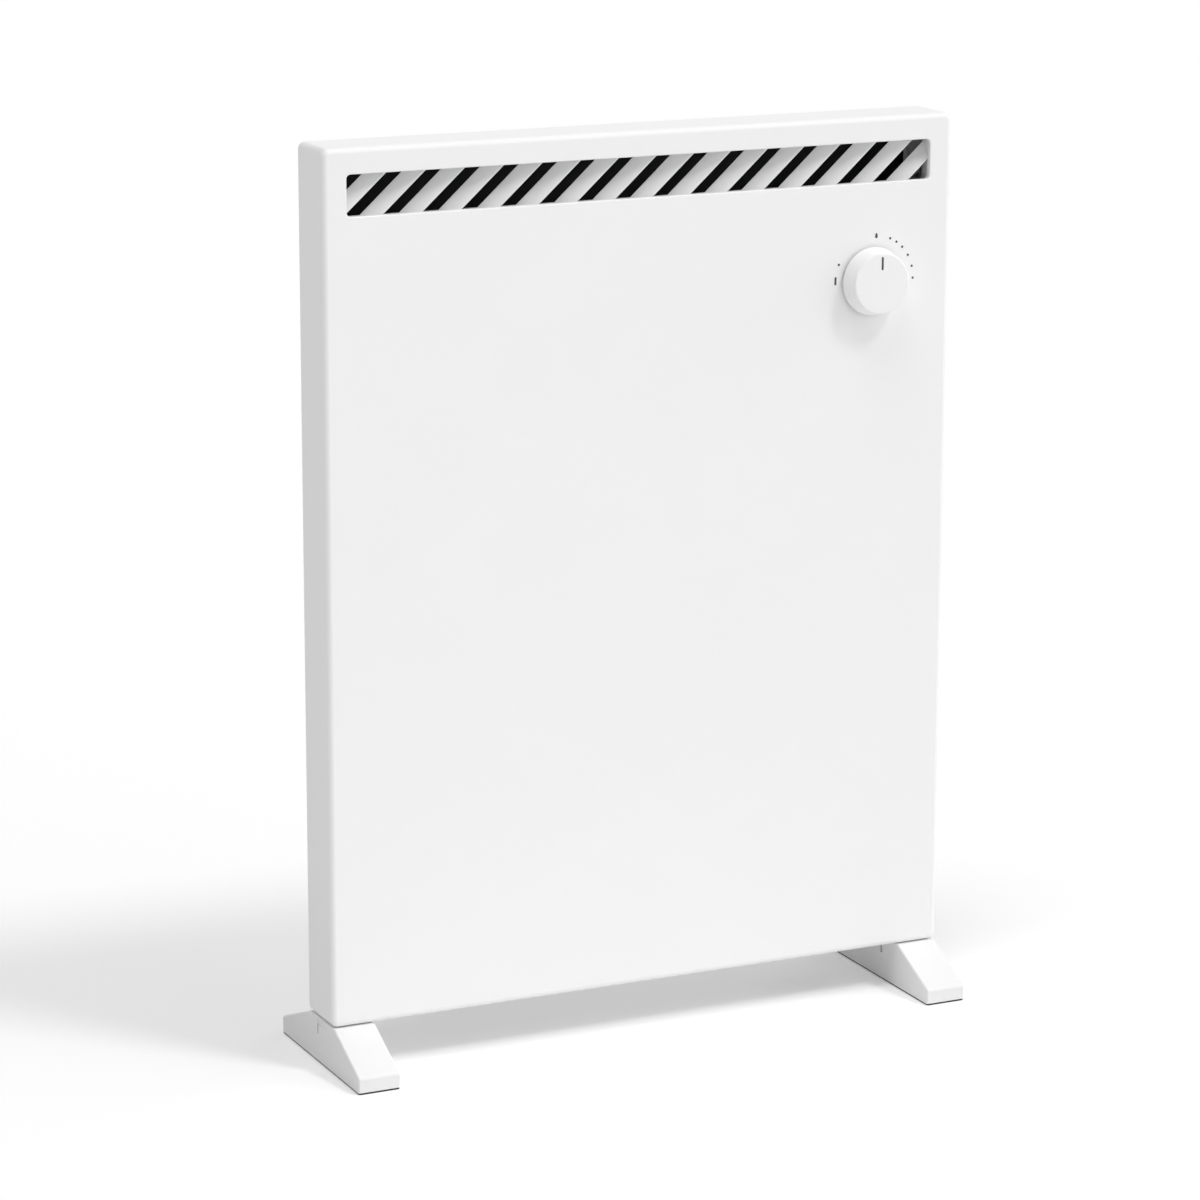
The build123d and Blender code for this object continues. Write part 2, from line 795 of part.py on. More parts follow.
def thermostat_hanger():
    """Hat-shaped bracket welded inside the cover that carries the thermostat."""
    half = hanger_sheet / 2
    plan = Pos(dial_x, 0) * hat(
        hanger_width / 2, hanger_foot, deep(sheet) + half, deep(hanger_deep), hanger_sheet
    )
    bracket = level(plan, dial_z - hanger_height / 2, dial_z + hanger_height / 2)
    hole = Pos(dial_x, dial_z) * wide_round(stem_radius + running_gap)
    return bracket - upright(hole, deep(hanger_deep - 1), deep(hanger_deep + 1))


def stem_nut():
    """Nut that clamps the thermostat's stem to its bracket."""
    ring = hexagon(stem_nut_flats) - wide_round(stem_radius + running_gap)
    seat = -(hanger_deep - hanger_sheet / 2)
    return on_dial(ring, seat, seat + stem_nut_height)


# ---- Sensing bulb ----
def tube(points, bends, radius, sides=0):
    """A tube along straight runs joined by arcs, round or with flat sides."""
    path = FilletPolyline(*points, radius=bends)
    start = Plane(origin=path @ 0, z_dir=path % 0)
    section = RegularPolygon(radius, sides) if sides else Circle(radius)
    return sweep(start * section, path=path)


def sensing_bulb():
    """Bulb over the intake slots, with its capillary up to the thermostat."""
    y = deep(bulb_deep)
    z = high(bulb_high)
    right = bulb_left + bulb_length
    bulb = across(Pos(y, z) * wide_round(bulb_radius), bulb_left, right)
    side = dial_x + capillary_side
    start_y = deep(hanger_deep + hanger_sheet / 2 + thermostat_depth / 2)
    start_z = dial_z - thermostat_height / 2
    lane_x = shield_width / 2 + shield_foot + capillary_gap
    lane_y = rear_inner_y - shield_standoff
    points = [
        (side, start_y, start_z),
        (side, start_y, start_z - capillary_drop),
        (lane_x, lane_y, start_z - capillary_drop - capillary_lean),
        (lane_x, lane_y, high(capillary_low)),
        (right + capillary_run, y, z),
        (right - bulb_radius, y, z),
    ]
    bends = [lead_turn, lead_turn, wide_turn, wide_turn]
    return bulb + tube(points, bends, capillary_radius, lead_sides)


def bulb_clips():
    """Snap clips that stand on the cover's underside and hold the bulb."""
    y = deep(bulb_deep)
    floor = base_z + sheet
    z = high(bulb_high)
    ring = wide_round(bulb_radius + clip_wall)
    ring += Pos(0, -(z - floor) / 2) * Rectangle(clip_post, z - floor)
    ring += Pos(0, floor - z + 1) * Rectangle(3 * clip_post, 2)
    ring -= wide_round(bulb_radius + running_gap)
    ring -= Pos(0, bulb_radius + clip_wall) * Rectangle(bulb_radius * 1.4, 2 * bulb_radius)
    centres = (bulb_left + bulb_length * 0.2, bulb_left + bulb_length * 0.8)
    return [
        across(Pos(y, z) * ring, x - clip_width / 2, x + clip_width / 2) for x in centres
    ]


# ---- Thermal cut-out ----
def thermal_cutout():
    """Disc limiter on an eared plate, with a blade above and a blade below."""
    z = high(cutout_high)
    ear = long_hole(2 * (cutout_ear + cutout_ear_round), cutout_ear_width)
    hole = small_round(small_screw_radius + case_screw_gap)
    holes = [Pos(side * cutout_ear, 0) * hole for side in (-1, 1)]
    plate = upright(Pos(cutout_side, z) * (ear - holes), shield_front_y - cutout_plate, shield_front_y)
    disc_y = shield_front_y - cutout_plate - cutout_depth
    disc_outline = Pos(cutout_side, z) * wide_round(cutout_radius)
    disc = upright(disc_outline, disc_y, shield_front_y - cutout_plate)
    blades = Pos(cutout_side, disc_y + 2) * Rectangle(blade_width, blade_thickness)
    reach = cutout_radius + blade_length - 2
    return plate + disc + level(blades, z - reach, z + reach)


def cutout_screws():
    y = shield_front_y - cutout_plate
    return [small_screw(cutout_side + side * cutout_ear, y, high(cutout_high)) for side in (-1, 1)]


# ---- Supply side ----
def pole_x(pole):
    """Middle of a pole: 0 neutral, 1 live, 2 earth."""
    return block_side + (pole - 1) * block_pole


def terminal_block():
    """Three-pole block on the rear panel, with lead entries above and below."""
    width = 3 * block_pole + 2 * block_end
    z = high(block_low)
    outline = Pos(block_side, z + block_height / 2) * Rectangle(width, block_height)
    block = upright(outline, rear_inner_y - block_depth, rear_inner_y)
    entries = [Pos(pole_x(p), rear_inner_y - lead_exit) * Rectangle(5.5, 5.5) for p in range(3)]
    block -= level(Sketch() + entries, z - 1, z + 5)
    wells = [
        Pos(pole_x(p), z + block_height * share) * small_round(block_screw_radius + 0.4)
        for p in range(3) for share in (0.3, 0.7)
    ]
    front = rear_inner_y - block_depth
    block -= upright(Sketch() + wells, front - 1, front + 3)
    walls = Rectangle(1.6, block_height)
    for k in (1, 2):
        gap = Pos(pole_x(0) + (k - 0.5) * block_pole, z + block_height / 2) * walls
        block -= upright(gap, front - 1, front + 2.5)
    return block


def terminal_screws():
    """Brass clamping screws sunk in the block's wells."""
    z = high(block_low)
    front = rear_inner_y - block_depth
    head = small_round(block_screw_radius)
    return [
        upright(Pos(pole_x(p), z + block_height * share) * head, front + block_screw_sink, front + 3)
        for p in range(3) for share in (0.3, 0.7)
    ]


def earth_stud():
    """Stud welded to the rear panel with its base nut."""
    place = Pos(earth_side, high(earth_high))
    stud = upright(place * small_round(earth_stud_radius), rear_inner_y - earth_stud_length, rear_inner_y)
    base_y = rear_inner_y - lead_exit + lug_thickness / 2
    return stud + upright(place * hexagon(earth_nut_flats), base_y, rear_inner_y)


def earth_nut():
    """Nut that clamps the earth lead's lug."""
    front_of_lug = rear_inner_y - lead_exit - lug_thickness / 2
    ring = hexagon(earth_nut_flats) - small_round(earth_stud_radius + running_gap)
    place = Pos(earth_side, high(earth_high))
    return upright(place * ring, front_of_lug - earth_nut_height, front_of_lug)


def cable_gland():
    """Hexagon-headed inlet bush through the underside, open for a supply cable."""
    centre = Pos(gland_side, deep(gland_deep))
    head = level(centre * hexagon(gland_head_flats), base_z - gland_head_height, base_z)
    end = base_z + sheet + gland_nut_height + gland_tail
    body = level(centre * wide_round(gland_body_radius), base_z, end)
    bore = level(centre * Circle(gland_bore_radius), base_z - gland_head_height - 1, end + 1)
    return head + body - bore


def gland_nut():
    """Lock nut of the inlet bush, on the cover's inside."""
    centre = Pos(gland_side, deep(gland_deep))
    ring = hexagon(gland_nut_flats) - wide_round(gland_body_radius + running_gap)
    floor = base_z + sheet
    return level(centre * ring, floor, floor + gland_nut_height)


# ---- Internal leads ----
def sleeved(points, bends):
    """An insulated lead with a terminal sleeve at each end."""
    lead = tube(points, bends, lead_radius, lead_sides)
    path = Polyline(*points)
    start = Plane(origin=path @ 0, z_dir=path % 0)
    end = Plane(origin=path @ 1, z_dir=-(path % 1))
    for plane in (start, end):
        lead += extrude(plane * RegularPolygon(sleeve_radius, lead_sides), amount=sleeve_length)
    return lead


def block_exit(pole):
    """Point on top of the terminal block where a pole's lead leaves."""
    return (pole_x(pole), rear_inner_y - lead_exit, high(block_low + block_height))


def blade_tip(side):
    """Lower end of one of the thermostat's blades."""
    y = deep(hanger_deep + hanger_sheet / 2 + thermostat_depth / 2)
    return (dial_x + side, y, dial_z - thermostat_height / 2 - blade_length)


def pin_tip(side):
    """Outer end of one of the heater rod's pins."""
    reach = rod_length / 2 + insulator_length + pin_length
    return (side * reach, deep(element_deep), high(element_high))


def live_lead():
    """Terminal block to thermostat, up the lane beside the shield."""
    x, y, z = block_exit(1)
    tip = blade_tip(live_blade)
    points = [
        (x, y, z),
        (x, y, z + lead_rise),
        (side_lane, deep(lane_deep), z + lead_rise + lead_slant),
        (side_lane, deep(lane_deep), tip[2] - live_top_drop),
        (tip[0], tip[1], tip[2] - live_last_drop),
        tip,
    ]
    return sleeved(points, [lead_bend, lead_turn, lead_turn, lead_turn])


def switched_lead():
    """Thermostat to thermal cut-out."""
    tip = blade_tip(switched_blade)
    disc_y = shield_front_y - cutout_plate - cutout_depth + 2
    blade_z = high(cutout_high) + cutout_radius + blade_length - 2
    points = [
        tip,
        (tip[0], tip[1], tip[2] - switched_top_drop),
        (cutout_side, disc_y, blade_z + switched_last_rise),
        (cutout_side, disc_y, blade_z),
    ]
    return sleeved(points, [wide_turn, wide_turn])


def element_lead():
    """Thermal cut-out to the heater rod's right pin."""
    disc_y = shield_front_y - cutout_plate - cutout_depth + 2
    blade_z = high(cutout_high) - cutout_radius - blade_length + 2
    x, y, z = pin_tip(1)
    out = x + sleeve_length + pin_clearance
    points = [
        (cutout_side, disc_y, blade_z),
        (cutout_side, disc_y, blade_z - element_first_drop),
        (out, y + element_forward, blade_z - element_first_drop - element_slant),
        (out, y, z),
        (x, y, z),
    ]
    return sleeved(points, [lead_bend, lead_bend, pin_turn])


def neutral_lead():
    """Terminal block to the heater rod's left pin, along the cool underside."""
    x, y, z = block_exit(0)
    pin_x, pin_y, pin_z = pin_tip(-1)
    out = pin_x - sleeve_length - pin_clearance
    points = [
        (x, y, z),
        (x, y, z + neutral_rise),
        (out, y, z + neutral_rise),
        (out, pin_y, pin_z - neutral_front_drop),
        (out, pin_y, pin_z),
        (pin_x, pin_y, pin_z),
    ]
    return sleeved(points, [lead_bend, lead_bend, lead_bend, pin_turn])


def earth_lead():
    """Terminal block to the earth stud, ending in a flat lug."""
    x, y, z = block_exit(2)
    turn = high(earth_high)
    lug_x = earth_side - lug_radius
    points = [(x, y, z), (x, y, turn), (lug_x - 3, y, turn)]
    lead = tube(points, [5], lead_radius, lead_sides)
    ring = wide_round(lug_radius) + Pos(-lug_radius, 0) * Rectangle(lug_radius + 3, 2.6)
    ring -= small_round(earth_stud_radius + running_gap)
    half = lug_thickness / 2
    return lead + upright(Pos(earth_side, turn) * ring, y - half, y + half)


def lead_clips():
    """Clips that hold the neutral lead on the rear panel and the live lead on the cover's side wall."""
    y = rear_inner_y - lead_exit
    z = high(block_low + block_height) + neutral_rise
    hole = hexagon(2 * lead_radius + 2 * running_gap)
    half = clip_width / 2
    reach = lead_exit + lead_radius + clip_wall
    clips = []
    for x in rear_clip_sides:
        block = Pos(rear_inner_y - reach / 2, z) * Rectangle(reach, clip_width)
        clips.append(across(block - Pos(y, z) * hole, x - half, x + half))
    reach = inner_half - side_lane + lead_radius + clip_wall
    for z in side_clip_levels:
        block = Pos(inner_half - reach / 2, deep(lane_deep)) * Rectangle(reach, clip_width)
        hollow = Pos(side_lane, deep(lane_deep)) * hole
        clips.append(level(block - hollow, high(z) - half, high(z) + half))
    return clips


# ---- Feet ----
def foot_profile(shrink=0.0):
    """Side view of a foot: two low lips, two slopes and a flat top under the panel."""
    low = pad_thickness
    front = -foot_length / 2 + shrink
    rear = foot_length / 2 - shrink
    return make_face(
        Polyline(
            (front, low),
            (front, foot_front_lip - shrink),
            (front_y + shrink / 2, foot_top_z - shrink),
            (back_y - shrink / 2, foot_top_z - shrink),
            (rear, foot_back_lip - shrink),
            (rear, low),
            close=True,
        )
    )


def foot(side):
    """Hollow moulded foot with ribs, screw bosses, a raised seat and a snap notch in each side wall."""
    half = foot_width / 2
    left = side * foot_centre_x - half
    right = left + foot_width
    body = across(foot_profile(), left, right)
    edges = body.edges().filter_by(lambda edge: edge.center().Z > pad_thickness + 0.01)
    body = chamfer(edges, foot_crop)
    body -= across(foot_profile(foot_wall), left + foot_wall, right - foot_wall)
    centre = side * foot_centre_x
    for rib_y in (-foot_length * 0.34, (front_y + back_y) / 2, foot_length * 0.34):
        rib = Pos(centre, rib_y) * Rectangle(foot_width - foot_wall, foot_rib)
        slab = level(rib, pad_thickness + foot_rib, foot_top_z)
        body += slab & across(foot_profile(foot_wall / 2), left, right)
    screw_ys = (deep(foot_screw_deep), deep(foot_screw_deep + foot_screw_spacing))
    boss_z = foot_top_z - foot_wall - boss_height
    bosses = Sketch() + [Pos(centre, y) * wide_round(boss_radius) for y in screw_ys]
    body += level(bosses, boss_z, foot_top_z - foot_wall / 2)
    seat = Pos(centre, (front_y + back_y) / 2) * Rectangle(
        foot_width - 2 * seat_margin, panel_depth - 2 * (front_round + seat_margin)
    )
    body += level(seat, foot_top_z - foot_wall / 2, base_z)
    hole = small_round(foot_screw_radius + foot_screw_gap)
    holes = Sketch() + [Pos(centre, y) * hole for y in screw_ys]
    body -= level(holes, boss_z - 1, base_z + 1)
    return body - snap_notches(side)


def snap_notches(side):
    """Upright slots through both side walls, and a shallow thumb recess ahead of the outer one."""
    outer_x = side * (foot_centre_x + foot_width / 2)
    inner_x = side * (foot_centre_x - foot_width / 2)
    top = base_z - notch_below
    slot = Pos(0, top - notch_height / 2) * Rectangle(notch_width, notch_height)
    through = foot_wall + 1
    outer = across(Pos(deep(outer_notch_deep), 0) * slot, outer_x - through, outer_x + through)
    inner = across(Pos(deep(inner_notch_deep), 0) * slot, inner_x - through, inner_x + through)
    recess = Rectangle(thumb_length, thumb_height)
    thumb_z = foot_top_z - thumb_height / 2 - foot_crop
    ahead = Pos(deep(outer_notch_deep) - thumb_length / 2, thumb_z) * recess
    behind = Pos(deep(inner_notch_deep) + thumb_length / 2, thumb_z) * recess
    outer += across(ahead, outer_x - thumb_recess, outer_x + thumb_recess)
    return outer + inner + across(behind, inner_x - thumb_recess, inner_x + thumb_recess)


def foot_pad(side):
    """Rubber sole under a foot, a little inside its outline."""
    outline = Rectangle(foot_width - 2 * pad_inset, foot_length - 2 * pad_inset)
    outline = chamfer(outline.vertices(), foot_crop)
    return level(Pos(side * foot_centre_x, 0) * outline, 0, pad_thickness)


def foot_screws():
    """Screws up through the feet into the nuts inside the cover."""
    boss_z = foot_top_z - foot_wall - boss_height
    length = base_z + sheet + foot_nut_height - boss_z + 1
    head = wide_round(screw_head_radius)
    return [
        fastener((x, y, boss_z), (0, 0, 1), head, screw_head_height, foot_screw_radius, length)
        for x, y in foot_screw_places()
    ]


def foot_nuts():
    """Weld nuts on the cover's underside, above the feet."""
    ring = hexagon(foot_nut_flats) - small_round(foot_screw_radius + running_gap)
    floor = base_z + sheet
    return [level(Pos(x, y) * ring, floor, floor + foot_nut_height) for x, y in foot_screw_places()]


# ---- Everything, one file for each node ----
os.makedirs("parts", exist_ok=True)
save("front_cover", front_cover())
save("rear_panel", rear_panel())
save("case_screws", *case_screws())
save("louvre_grille", louvre_grille())
save("grille_push_nuts", *push_nuts())
save("air_deflector", air_deflector())
save("heat_shield", heat_shield())
save("front_baffle", front_baffle())
save("element_fins", element_fins())
save("heater_rod", heater_rod())
save("element_insulators", *element_insulators())
save("element_bushes", *element_bushes())
save("left_element_bracket", element_bracket(-1))
save("right_element_bracket", element_bracket(1))
save("element_screws", *element_screws())
save("knob", knob())
save("knob_pointer", knob_pointer())
save("knob_spring", knob_spring())
save("thermostat_spindle", thermostat_spindle())
save("thermostat_body", thermostat_body())
save("thermostat_blades", *thermostat_blades())
save("thermostat_bracket", thermostat_hanger())
save("thermostat_nut", stem_nut())
save("sensing_bulb", sensing_bulb())
save("bulb_clips", *bulb_clips())
save("thermal_cutout", thermal_cutout())
save("cutout_screws", *cutout_screws())
save("terminal_block", terminal_block())
save("terminal_screws", *terminal_screws())
save("earth_stud", earth_stud())
save("earth_nut", earth_nut())
save("cable_gland", cable_gland())
save("gland_nut", gland_nut())
save("live_lead", live_lead())
save("switched_lead", switched_lead())
save("element_lead", element_lead())
save("neutral_lead", neutral_lead())
save("earth_lead", earth_lead())
save("lead_clips", *lead_clips())
for name, side in (("left", -1), ("right", 1)):
    save(f"{name}_foot", foot(side))
    save(f"{name}_foot_pad", foot_pad(side))
save("foot_screws", *foot_screws())
save("foot_nuts", *foot_nuts())
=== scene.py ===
import json
import math

import bmesh
import bpy
from mathutils import Matrix, Vector


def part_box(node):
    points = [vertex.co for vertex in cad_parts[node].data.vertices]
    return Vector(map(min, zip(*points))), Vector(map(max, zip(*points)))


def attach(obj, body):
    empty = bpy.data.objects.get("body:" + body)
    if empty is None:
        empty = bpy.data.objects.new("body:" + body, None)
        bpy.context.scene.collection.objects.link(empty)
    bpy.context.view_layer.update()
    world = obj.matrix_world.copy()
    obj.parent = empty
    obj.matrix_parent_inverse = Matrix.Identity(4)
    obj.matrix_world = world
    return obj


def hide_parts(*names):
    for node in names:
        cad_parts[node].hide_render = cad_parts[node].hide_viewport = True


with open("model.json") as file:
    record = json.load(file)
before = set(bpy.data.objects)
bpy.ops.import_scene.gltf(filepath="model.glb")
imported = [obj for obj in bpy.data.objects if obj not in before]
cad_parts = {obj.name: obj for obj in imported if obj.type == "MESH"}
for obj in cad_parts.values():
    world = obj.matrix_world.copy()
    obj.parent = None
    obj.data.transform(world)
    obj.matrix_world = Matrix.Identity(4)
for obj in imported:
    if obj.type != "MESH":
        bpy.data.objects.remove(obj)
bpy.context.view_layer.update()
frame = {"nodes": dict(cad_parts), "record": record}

# Pieces are drawn in millimetres and scaled when they are finished. The panel's front is at low y.
MM = 0.001


def box_mm(node):
    """Lowest and highest corner of a CAD node, in millimetres."""
    low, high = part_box(node)
    return low / MM, high / MM


cover_low, cover_high = box_mm("front_cover")
knob_low, knob_high = box_mm("knob")
left_low, left_high = box_mm("left_foot")
front_y, cover_back_y = cover_low.y, cover_high.y
back_y = box_mm("rear_panel")[1].y
pad_top = box_mm("left_foot_pad")[1].z
panel_width = cover_high.x - cover_low.x
panel_height = cover_high.z - cover_low.z
base_z, top_z = cover_low.z, cover_high.z
mid_z = (base_z + top_z) / 2
dial_x = (knob_low.x + knob_high.x) / 2
dial_z = (knob_low.z + knob_high.z) / 2
foot_centre_x = -(left_low.x + left_high.x) / 2
foot_width = left_high.x - left_low.x

TOLERANCE = 1e-6
# How far a cutter runs on past the skin that it cuts.
OVERCUT = 2.0
SHEET = 0.8
CORNER = 5.0
FRONT_ROUND = 4.0
BACK_ROUND = 1.2
FLANGE = 12.0
SEAM = 2.0
WINDOW_WIDTH = 445.0
WINDOW_HEIGHT = 28.5
WINDOW_DROP = 18.0
WINDOW_RADIUS = 3.0
HEM_DEPTH = 3.5
HEM_ROUND = 0.9
window_z = top_z - WINDOW_DROP - WINDOW_HEIGHT / 2


# ---- Outlines ----
def rounded_rect(width, height, radius, steps=8, centre=(0.0, 0.0)):
    """Outline of a rounded rectangle, anticlockwise, as pairs."""
    points = []
    for k, (sx, sy) in enumerate(((1, -1), (1, 1), (-1, 1), (-1, -1))):
        cx = centre[0] + sx * (width / 2 - radius)
        cy = centre[1] + sy * (height / 2 - radius)
        for i in range(steps + 1):
            a = math.radians(90 * (k - 1 + i / steps))
            point = (cx + radius * math.cos(a), cy + radius * math.sin(a))
            if not points or math.dist(point, points[-1]) > TOLERANCE:
                points.append(point)
    if math.dist(points[0], points[-1]) < TOLERANCE:
        points.pop()
    return points


def polygon(radius, sides, centre=(0.0, 0.0)):
    """Outline of a regular polygon, anticlockwise."""
    angles = [2 * math.pi * k / sides for k in range(sides)]
    return [(centre[0] + radius * math.cos(a), centre[1] + radius * math.sin(a)) for a in angles]


def filleted(points, radii, steps=5):
    """A closed outline whose corners are rounded by the radii, one per corner."""
    outline = []
    for k, radius in enumerate(radii):
        before, corner, after = (Vector(points[(k + s) % len(points)]) for s in (-1, 0, 1))
        first, second = (before - corner).normalized(), (after - corner).normalized()
        half = first.angle(second) / 2
        back = radius / math.tan(half)
        centre = corner + (first + second).normalized() * radius / math.sin(half)
        start = corner + first * back - centre
        sweep = math.pi - 2 * half
        turn = -1 if first.x * second.y - first.y * second.x > 0 else 1
        for i in range(steps + 1):
            a = turn * sweep * i / steps
            x = start.x * math.cos(a) - start.y * math.sin(a)
            y = start.x * math.sin(a) + start.y * math.cos(a)
            outline.append((centre.x + x, centre.y + y))
    return outline


def at_x(outline, x):
    """An outline in y and z, as a ring at x."""
    return [Vector((x, a, b)) for a, b in outline]


def at_y(outline, y):
    """An outline in x and z, as a ring at y."""
    return [Vector((a, y, b)) for a, b in outline]


def at_z(outline, z):
    """An outline in x and y, as a ring at z."""
    return [Vector((a, b, z)) for a, b in outline]


def on(spot, outline, height):
    """An outline as a ring on a spot's own plane, at a height along its z."""
    return [spot @ Vector((a, b, height)) for a, b in outline]


def quarter(radius, steps):
    """How far a quarter round runs in and back, from its far end to its near end."""
    angles = [math.radians(90 * i / steps) for i in range(steps + 1)]
    return [(radius * (1 - math.cos(a)), radius * (1 - math.sin(a))) for a in angles]


# ---- Solids ----
def add_loft(bm, rings):
    """A closed skin through rings of equal length, capped at both ends. A ring of one point is a tip."""
    loops = [[bm.verts.new(p) for p in ring] for ring in rings]
    for a, b in zip(loops, loops[1:]):
        for i in range(max(len(a), len(b))):
            j = (i + 1) % max(len(a), len(b))
            if len(a) == 1:
                bm.faces.new((a[0], b[j], b[i]))
            elif len(b) == 1:
                bm.faces.new((a[i], a[j], b[0]))
            else:
                bm.faces.new((a[i], a[j], b[j], b[i]))
    for loop in (loops[0], loops[-1]):
        if len(loop) > 2:
            bm.faces.new(loop)


def solid(name, *ring_sets):
    """An object of one or more closed skins."""
    bm = bmesh.new()
    for rings in ring_sets:
        add_loft(bm, rings)
    bmesh.ops.recalc_face_normals(bm, faces=bm.faces)
    mesh = bpy.data.meshes.new(name)
    bm.to_mesh(mesh)
    bm.free()
    obj = bpy.data.objects.new(name, mesh)
    bpy.context.scene.collection.objects.link(obj)
    return obj


def bake(obj):
    """Turn an object's modifiers into its mesh."""
    bpy.context.view_layer.update()
    graph = bpy.context.evaluated_depsgraph_get()
    mesh = bpy.data.meshes.new_from_object(obj.evaluated_get(graph))
    obj.modifiers.clear()
    obj.data = mesh
    return obj


def combine(obj, operation, tools):
    """Boolean with each tool in turn, which are then gone."""
    for tool in tools:
        step = obj.modifiers.new("combine", "BOOLEAN")
        step.operation = operation
        step.solver = "EXACT"
        step.object = tool
    bake(obj)
    for tool in tools:
        bpy.data.objects.remove(tool)
    return obj


def cut(obj, *tools):
    """Take the tools away from an object."""
    return combine(obj, "DIFFERENCE", tools)


def join(obj, *tools):
    """Add the tools to an object."""
    return combine(obj, "UNION", tools)


def copies(obj, spots):
    """The object's mesh repeated at each spot, in one object."""
    bm = bmesh.new()
    for spot in spots:
        bm.from_mesh(obj.data)
        bmesh.ops.transform(bm, matrix=spot, verts=bm.verts[-len(obj.data.vertices):])
    bm.to_mesh(obj.data)
    bm.free()
    return obj


def facing(point, out):
    """A spot at a point whose z looks along out and whose y leans upwards."""
    z = Vector(out).normalized()
    x = Vector((0, 0, 1)).cross(z).normalized()
    return Matrix.Translation(point) @ Matrix((x, z.cross(x), z)).transposed().to_4x4()


def turned(profile, steps, spot=Matrix.Identity(4)):
    """Rings of a turned form from radius and height pairs, about a spot's z. A radius of 0 is a tip."""
    return [
        on(spot, polygon(radius, steps) if radius > 0 else [(0, 0)], height)
        for radius, height in profile
    ]


# Edges that turn by more degrees than this stay sharp.
SHARP_EDGE = 32
FACE_WEIGHT = 80


def piece(obj, body, slot, *nodes, sharp=SHARP_EDGE):
    """Finish a piece: metres, shading, its body, its material slot and the CAD nodes it stands for."""
    obj.data.transform(Matrix.Scale(MM, 4))
    for face in obj.data.polygons:
        face.use_smooth = True
    obj.data.set_sharp_from_angle(angle=math.radians(sharp))
    step = obj.modifiers.new("shade", "WEIGHTED_NORMAL")
    step.keep_sharp = True
    step.weight = FACE_WEIGHT
    obj.data.materials.clear()
    obj.data.materials.append(materials[slot])
    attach(obj, body)
    if nodes:
        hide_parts(*nodes)


# ---- Materials ----
materials = {}
# Scales of grain and mottle are in features per metre, and depths of relief in metres.
# The part of a noise's range that colour and gloss follow.
NOISE_LOW, NOISE_HIGH = 0.3, 0.7
GLOSS_SPREAD = 0.05


class Nodes:
    """Short ways to add shader nodes to one material."""

    def __init__(self, name):
        self.material = bpy.data.materials.new(name)
        self.material.use_nodes = True
        self.tree = self.material.node_tree
        self.shader = self.tree.nodes["Principled BSDF"]
        self.output = self.tree.nodes["Material Output"]
        self.place = self.tree.nodes.new("ShaderNodeTexCoord").outputs["Object"]

    def link(self, source, target):
        self.tree.links.new(source, target)

    def noise(self, scale, detail, stretch=None):
        """A soft noise, stretched along an axis whose factor is small."""
        node = self.tree.nodes.new("ShaderNodeTexNoise")
        node.inputs["Scale"].default_value = scale
        node.inputs["Detail"].default_value = detail
        place = self.place
        if stretch:
            mapping = self.tree.nodes.new("ShaderNodeMapping")
            mapping.inputs["Scale"].default_value = stretch
            self.link(place, mapping.inputs["Vector"])
            place = mapping.outputs["Vector"]
        self.link(place, node.inputs["Vector"])
        return node.outputs["Fac"]

    def cells(self, scale):
        """Flat patches, like the crystals of a zinc coat."""
        node = self.tree.nodes.new("ShaderNodeTexVoronoi")
        node.inputs["Scale"].default_value = scale
        self.link(self.place, node.inputs["Vector"])
        return node.outputs["Color"]

    def span(self, source, low, high):
        """A value that follows a noise from low to high."""
        node = self.tree.nodes.new("ShaderNodeMapRange")
        ends = {"From Min": NOISE_LOW, "From Max": NOISE_HIGH, "To Min": low, "To Max": high}
        for name, value in ends.items():
            node.inputs[name].default_value = value
        self.link(source, node.inputs["Value"])
        return node.outputs["Result"]

    def colours(self, source, first, second):
        """A colour that follows a noise from the first to the second."""
        node = self.tree.nodes.new("ShaderNodeValToRGB")
        stops = zip(node.color_ramp.elements, (NOISE_LOW, NOISE_HIGH), (first, second))
        for element, place, colour in stops:
            element.position = place
            element.color = (*colour, 1)
        self.link(source, node.inputs["Fac"])
        return node.outputs["Color"]

    def bump(self, height, strength, distance):
        node = self.tree.nodes.new("ShaderNodeBump")
        node.inputs["Strength"].default_value = strength
        node.inputs["Distance"].default_value = distance
        self.link(height, node.inputs["Height"])
        return node.outputs["Normal"]


def tinted(colour, factor):
    """A colour made lighter or darker by a factor."""
    return tuple(min(1.0, c * factor) for c in colour)


def surface(
    slot, colour, roughness, metallic=0.0, grain=1500.0, depth=0.00002, strength=0.2,
    spread=0.012, mottle=14.0, stretch=None, specular=0.5, cells=None,
):
    """A material whose colour and gloss vary broadly and whose relief is a fine grain."""
    n = Nodes(slot)
    broad = n.cells(cells) if cells else n.noise(mottle, 3.0)
    fine = n.noise(grain, 2.0, stretch)
    mottled = n.colours(broad, tinted(colour, 1 - spread), tinted(colour, 1 + spread))
    n.link(mottled, n.shader.inputs["Base Color"])
    gloss = n.span(broad, roughness - GLOSS_SPREAD, roughness + GLOSS_SPREAD)
    n.link(gloss, n.shader.inputs["Roughness"])
    n.link(n.bump(fine, strength, depth), n.shader.inputs["Normal"])
    n.shader.inputs["Metallic"].default_value = metallic
    n.shader.inputs["Specular IOR Level"].default_value = specular
    materials[slot] = n.material


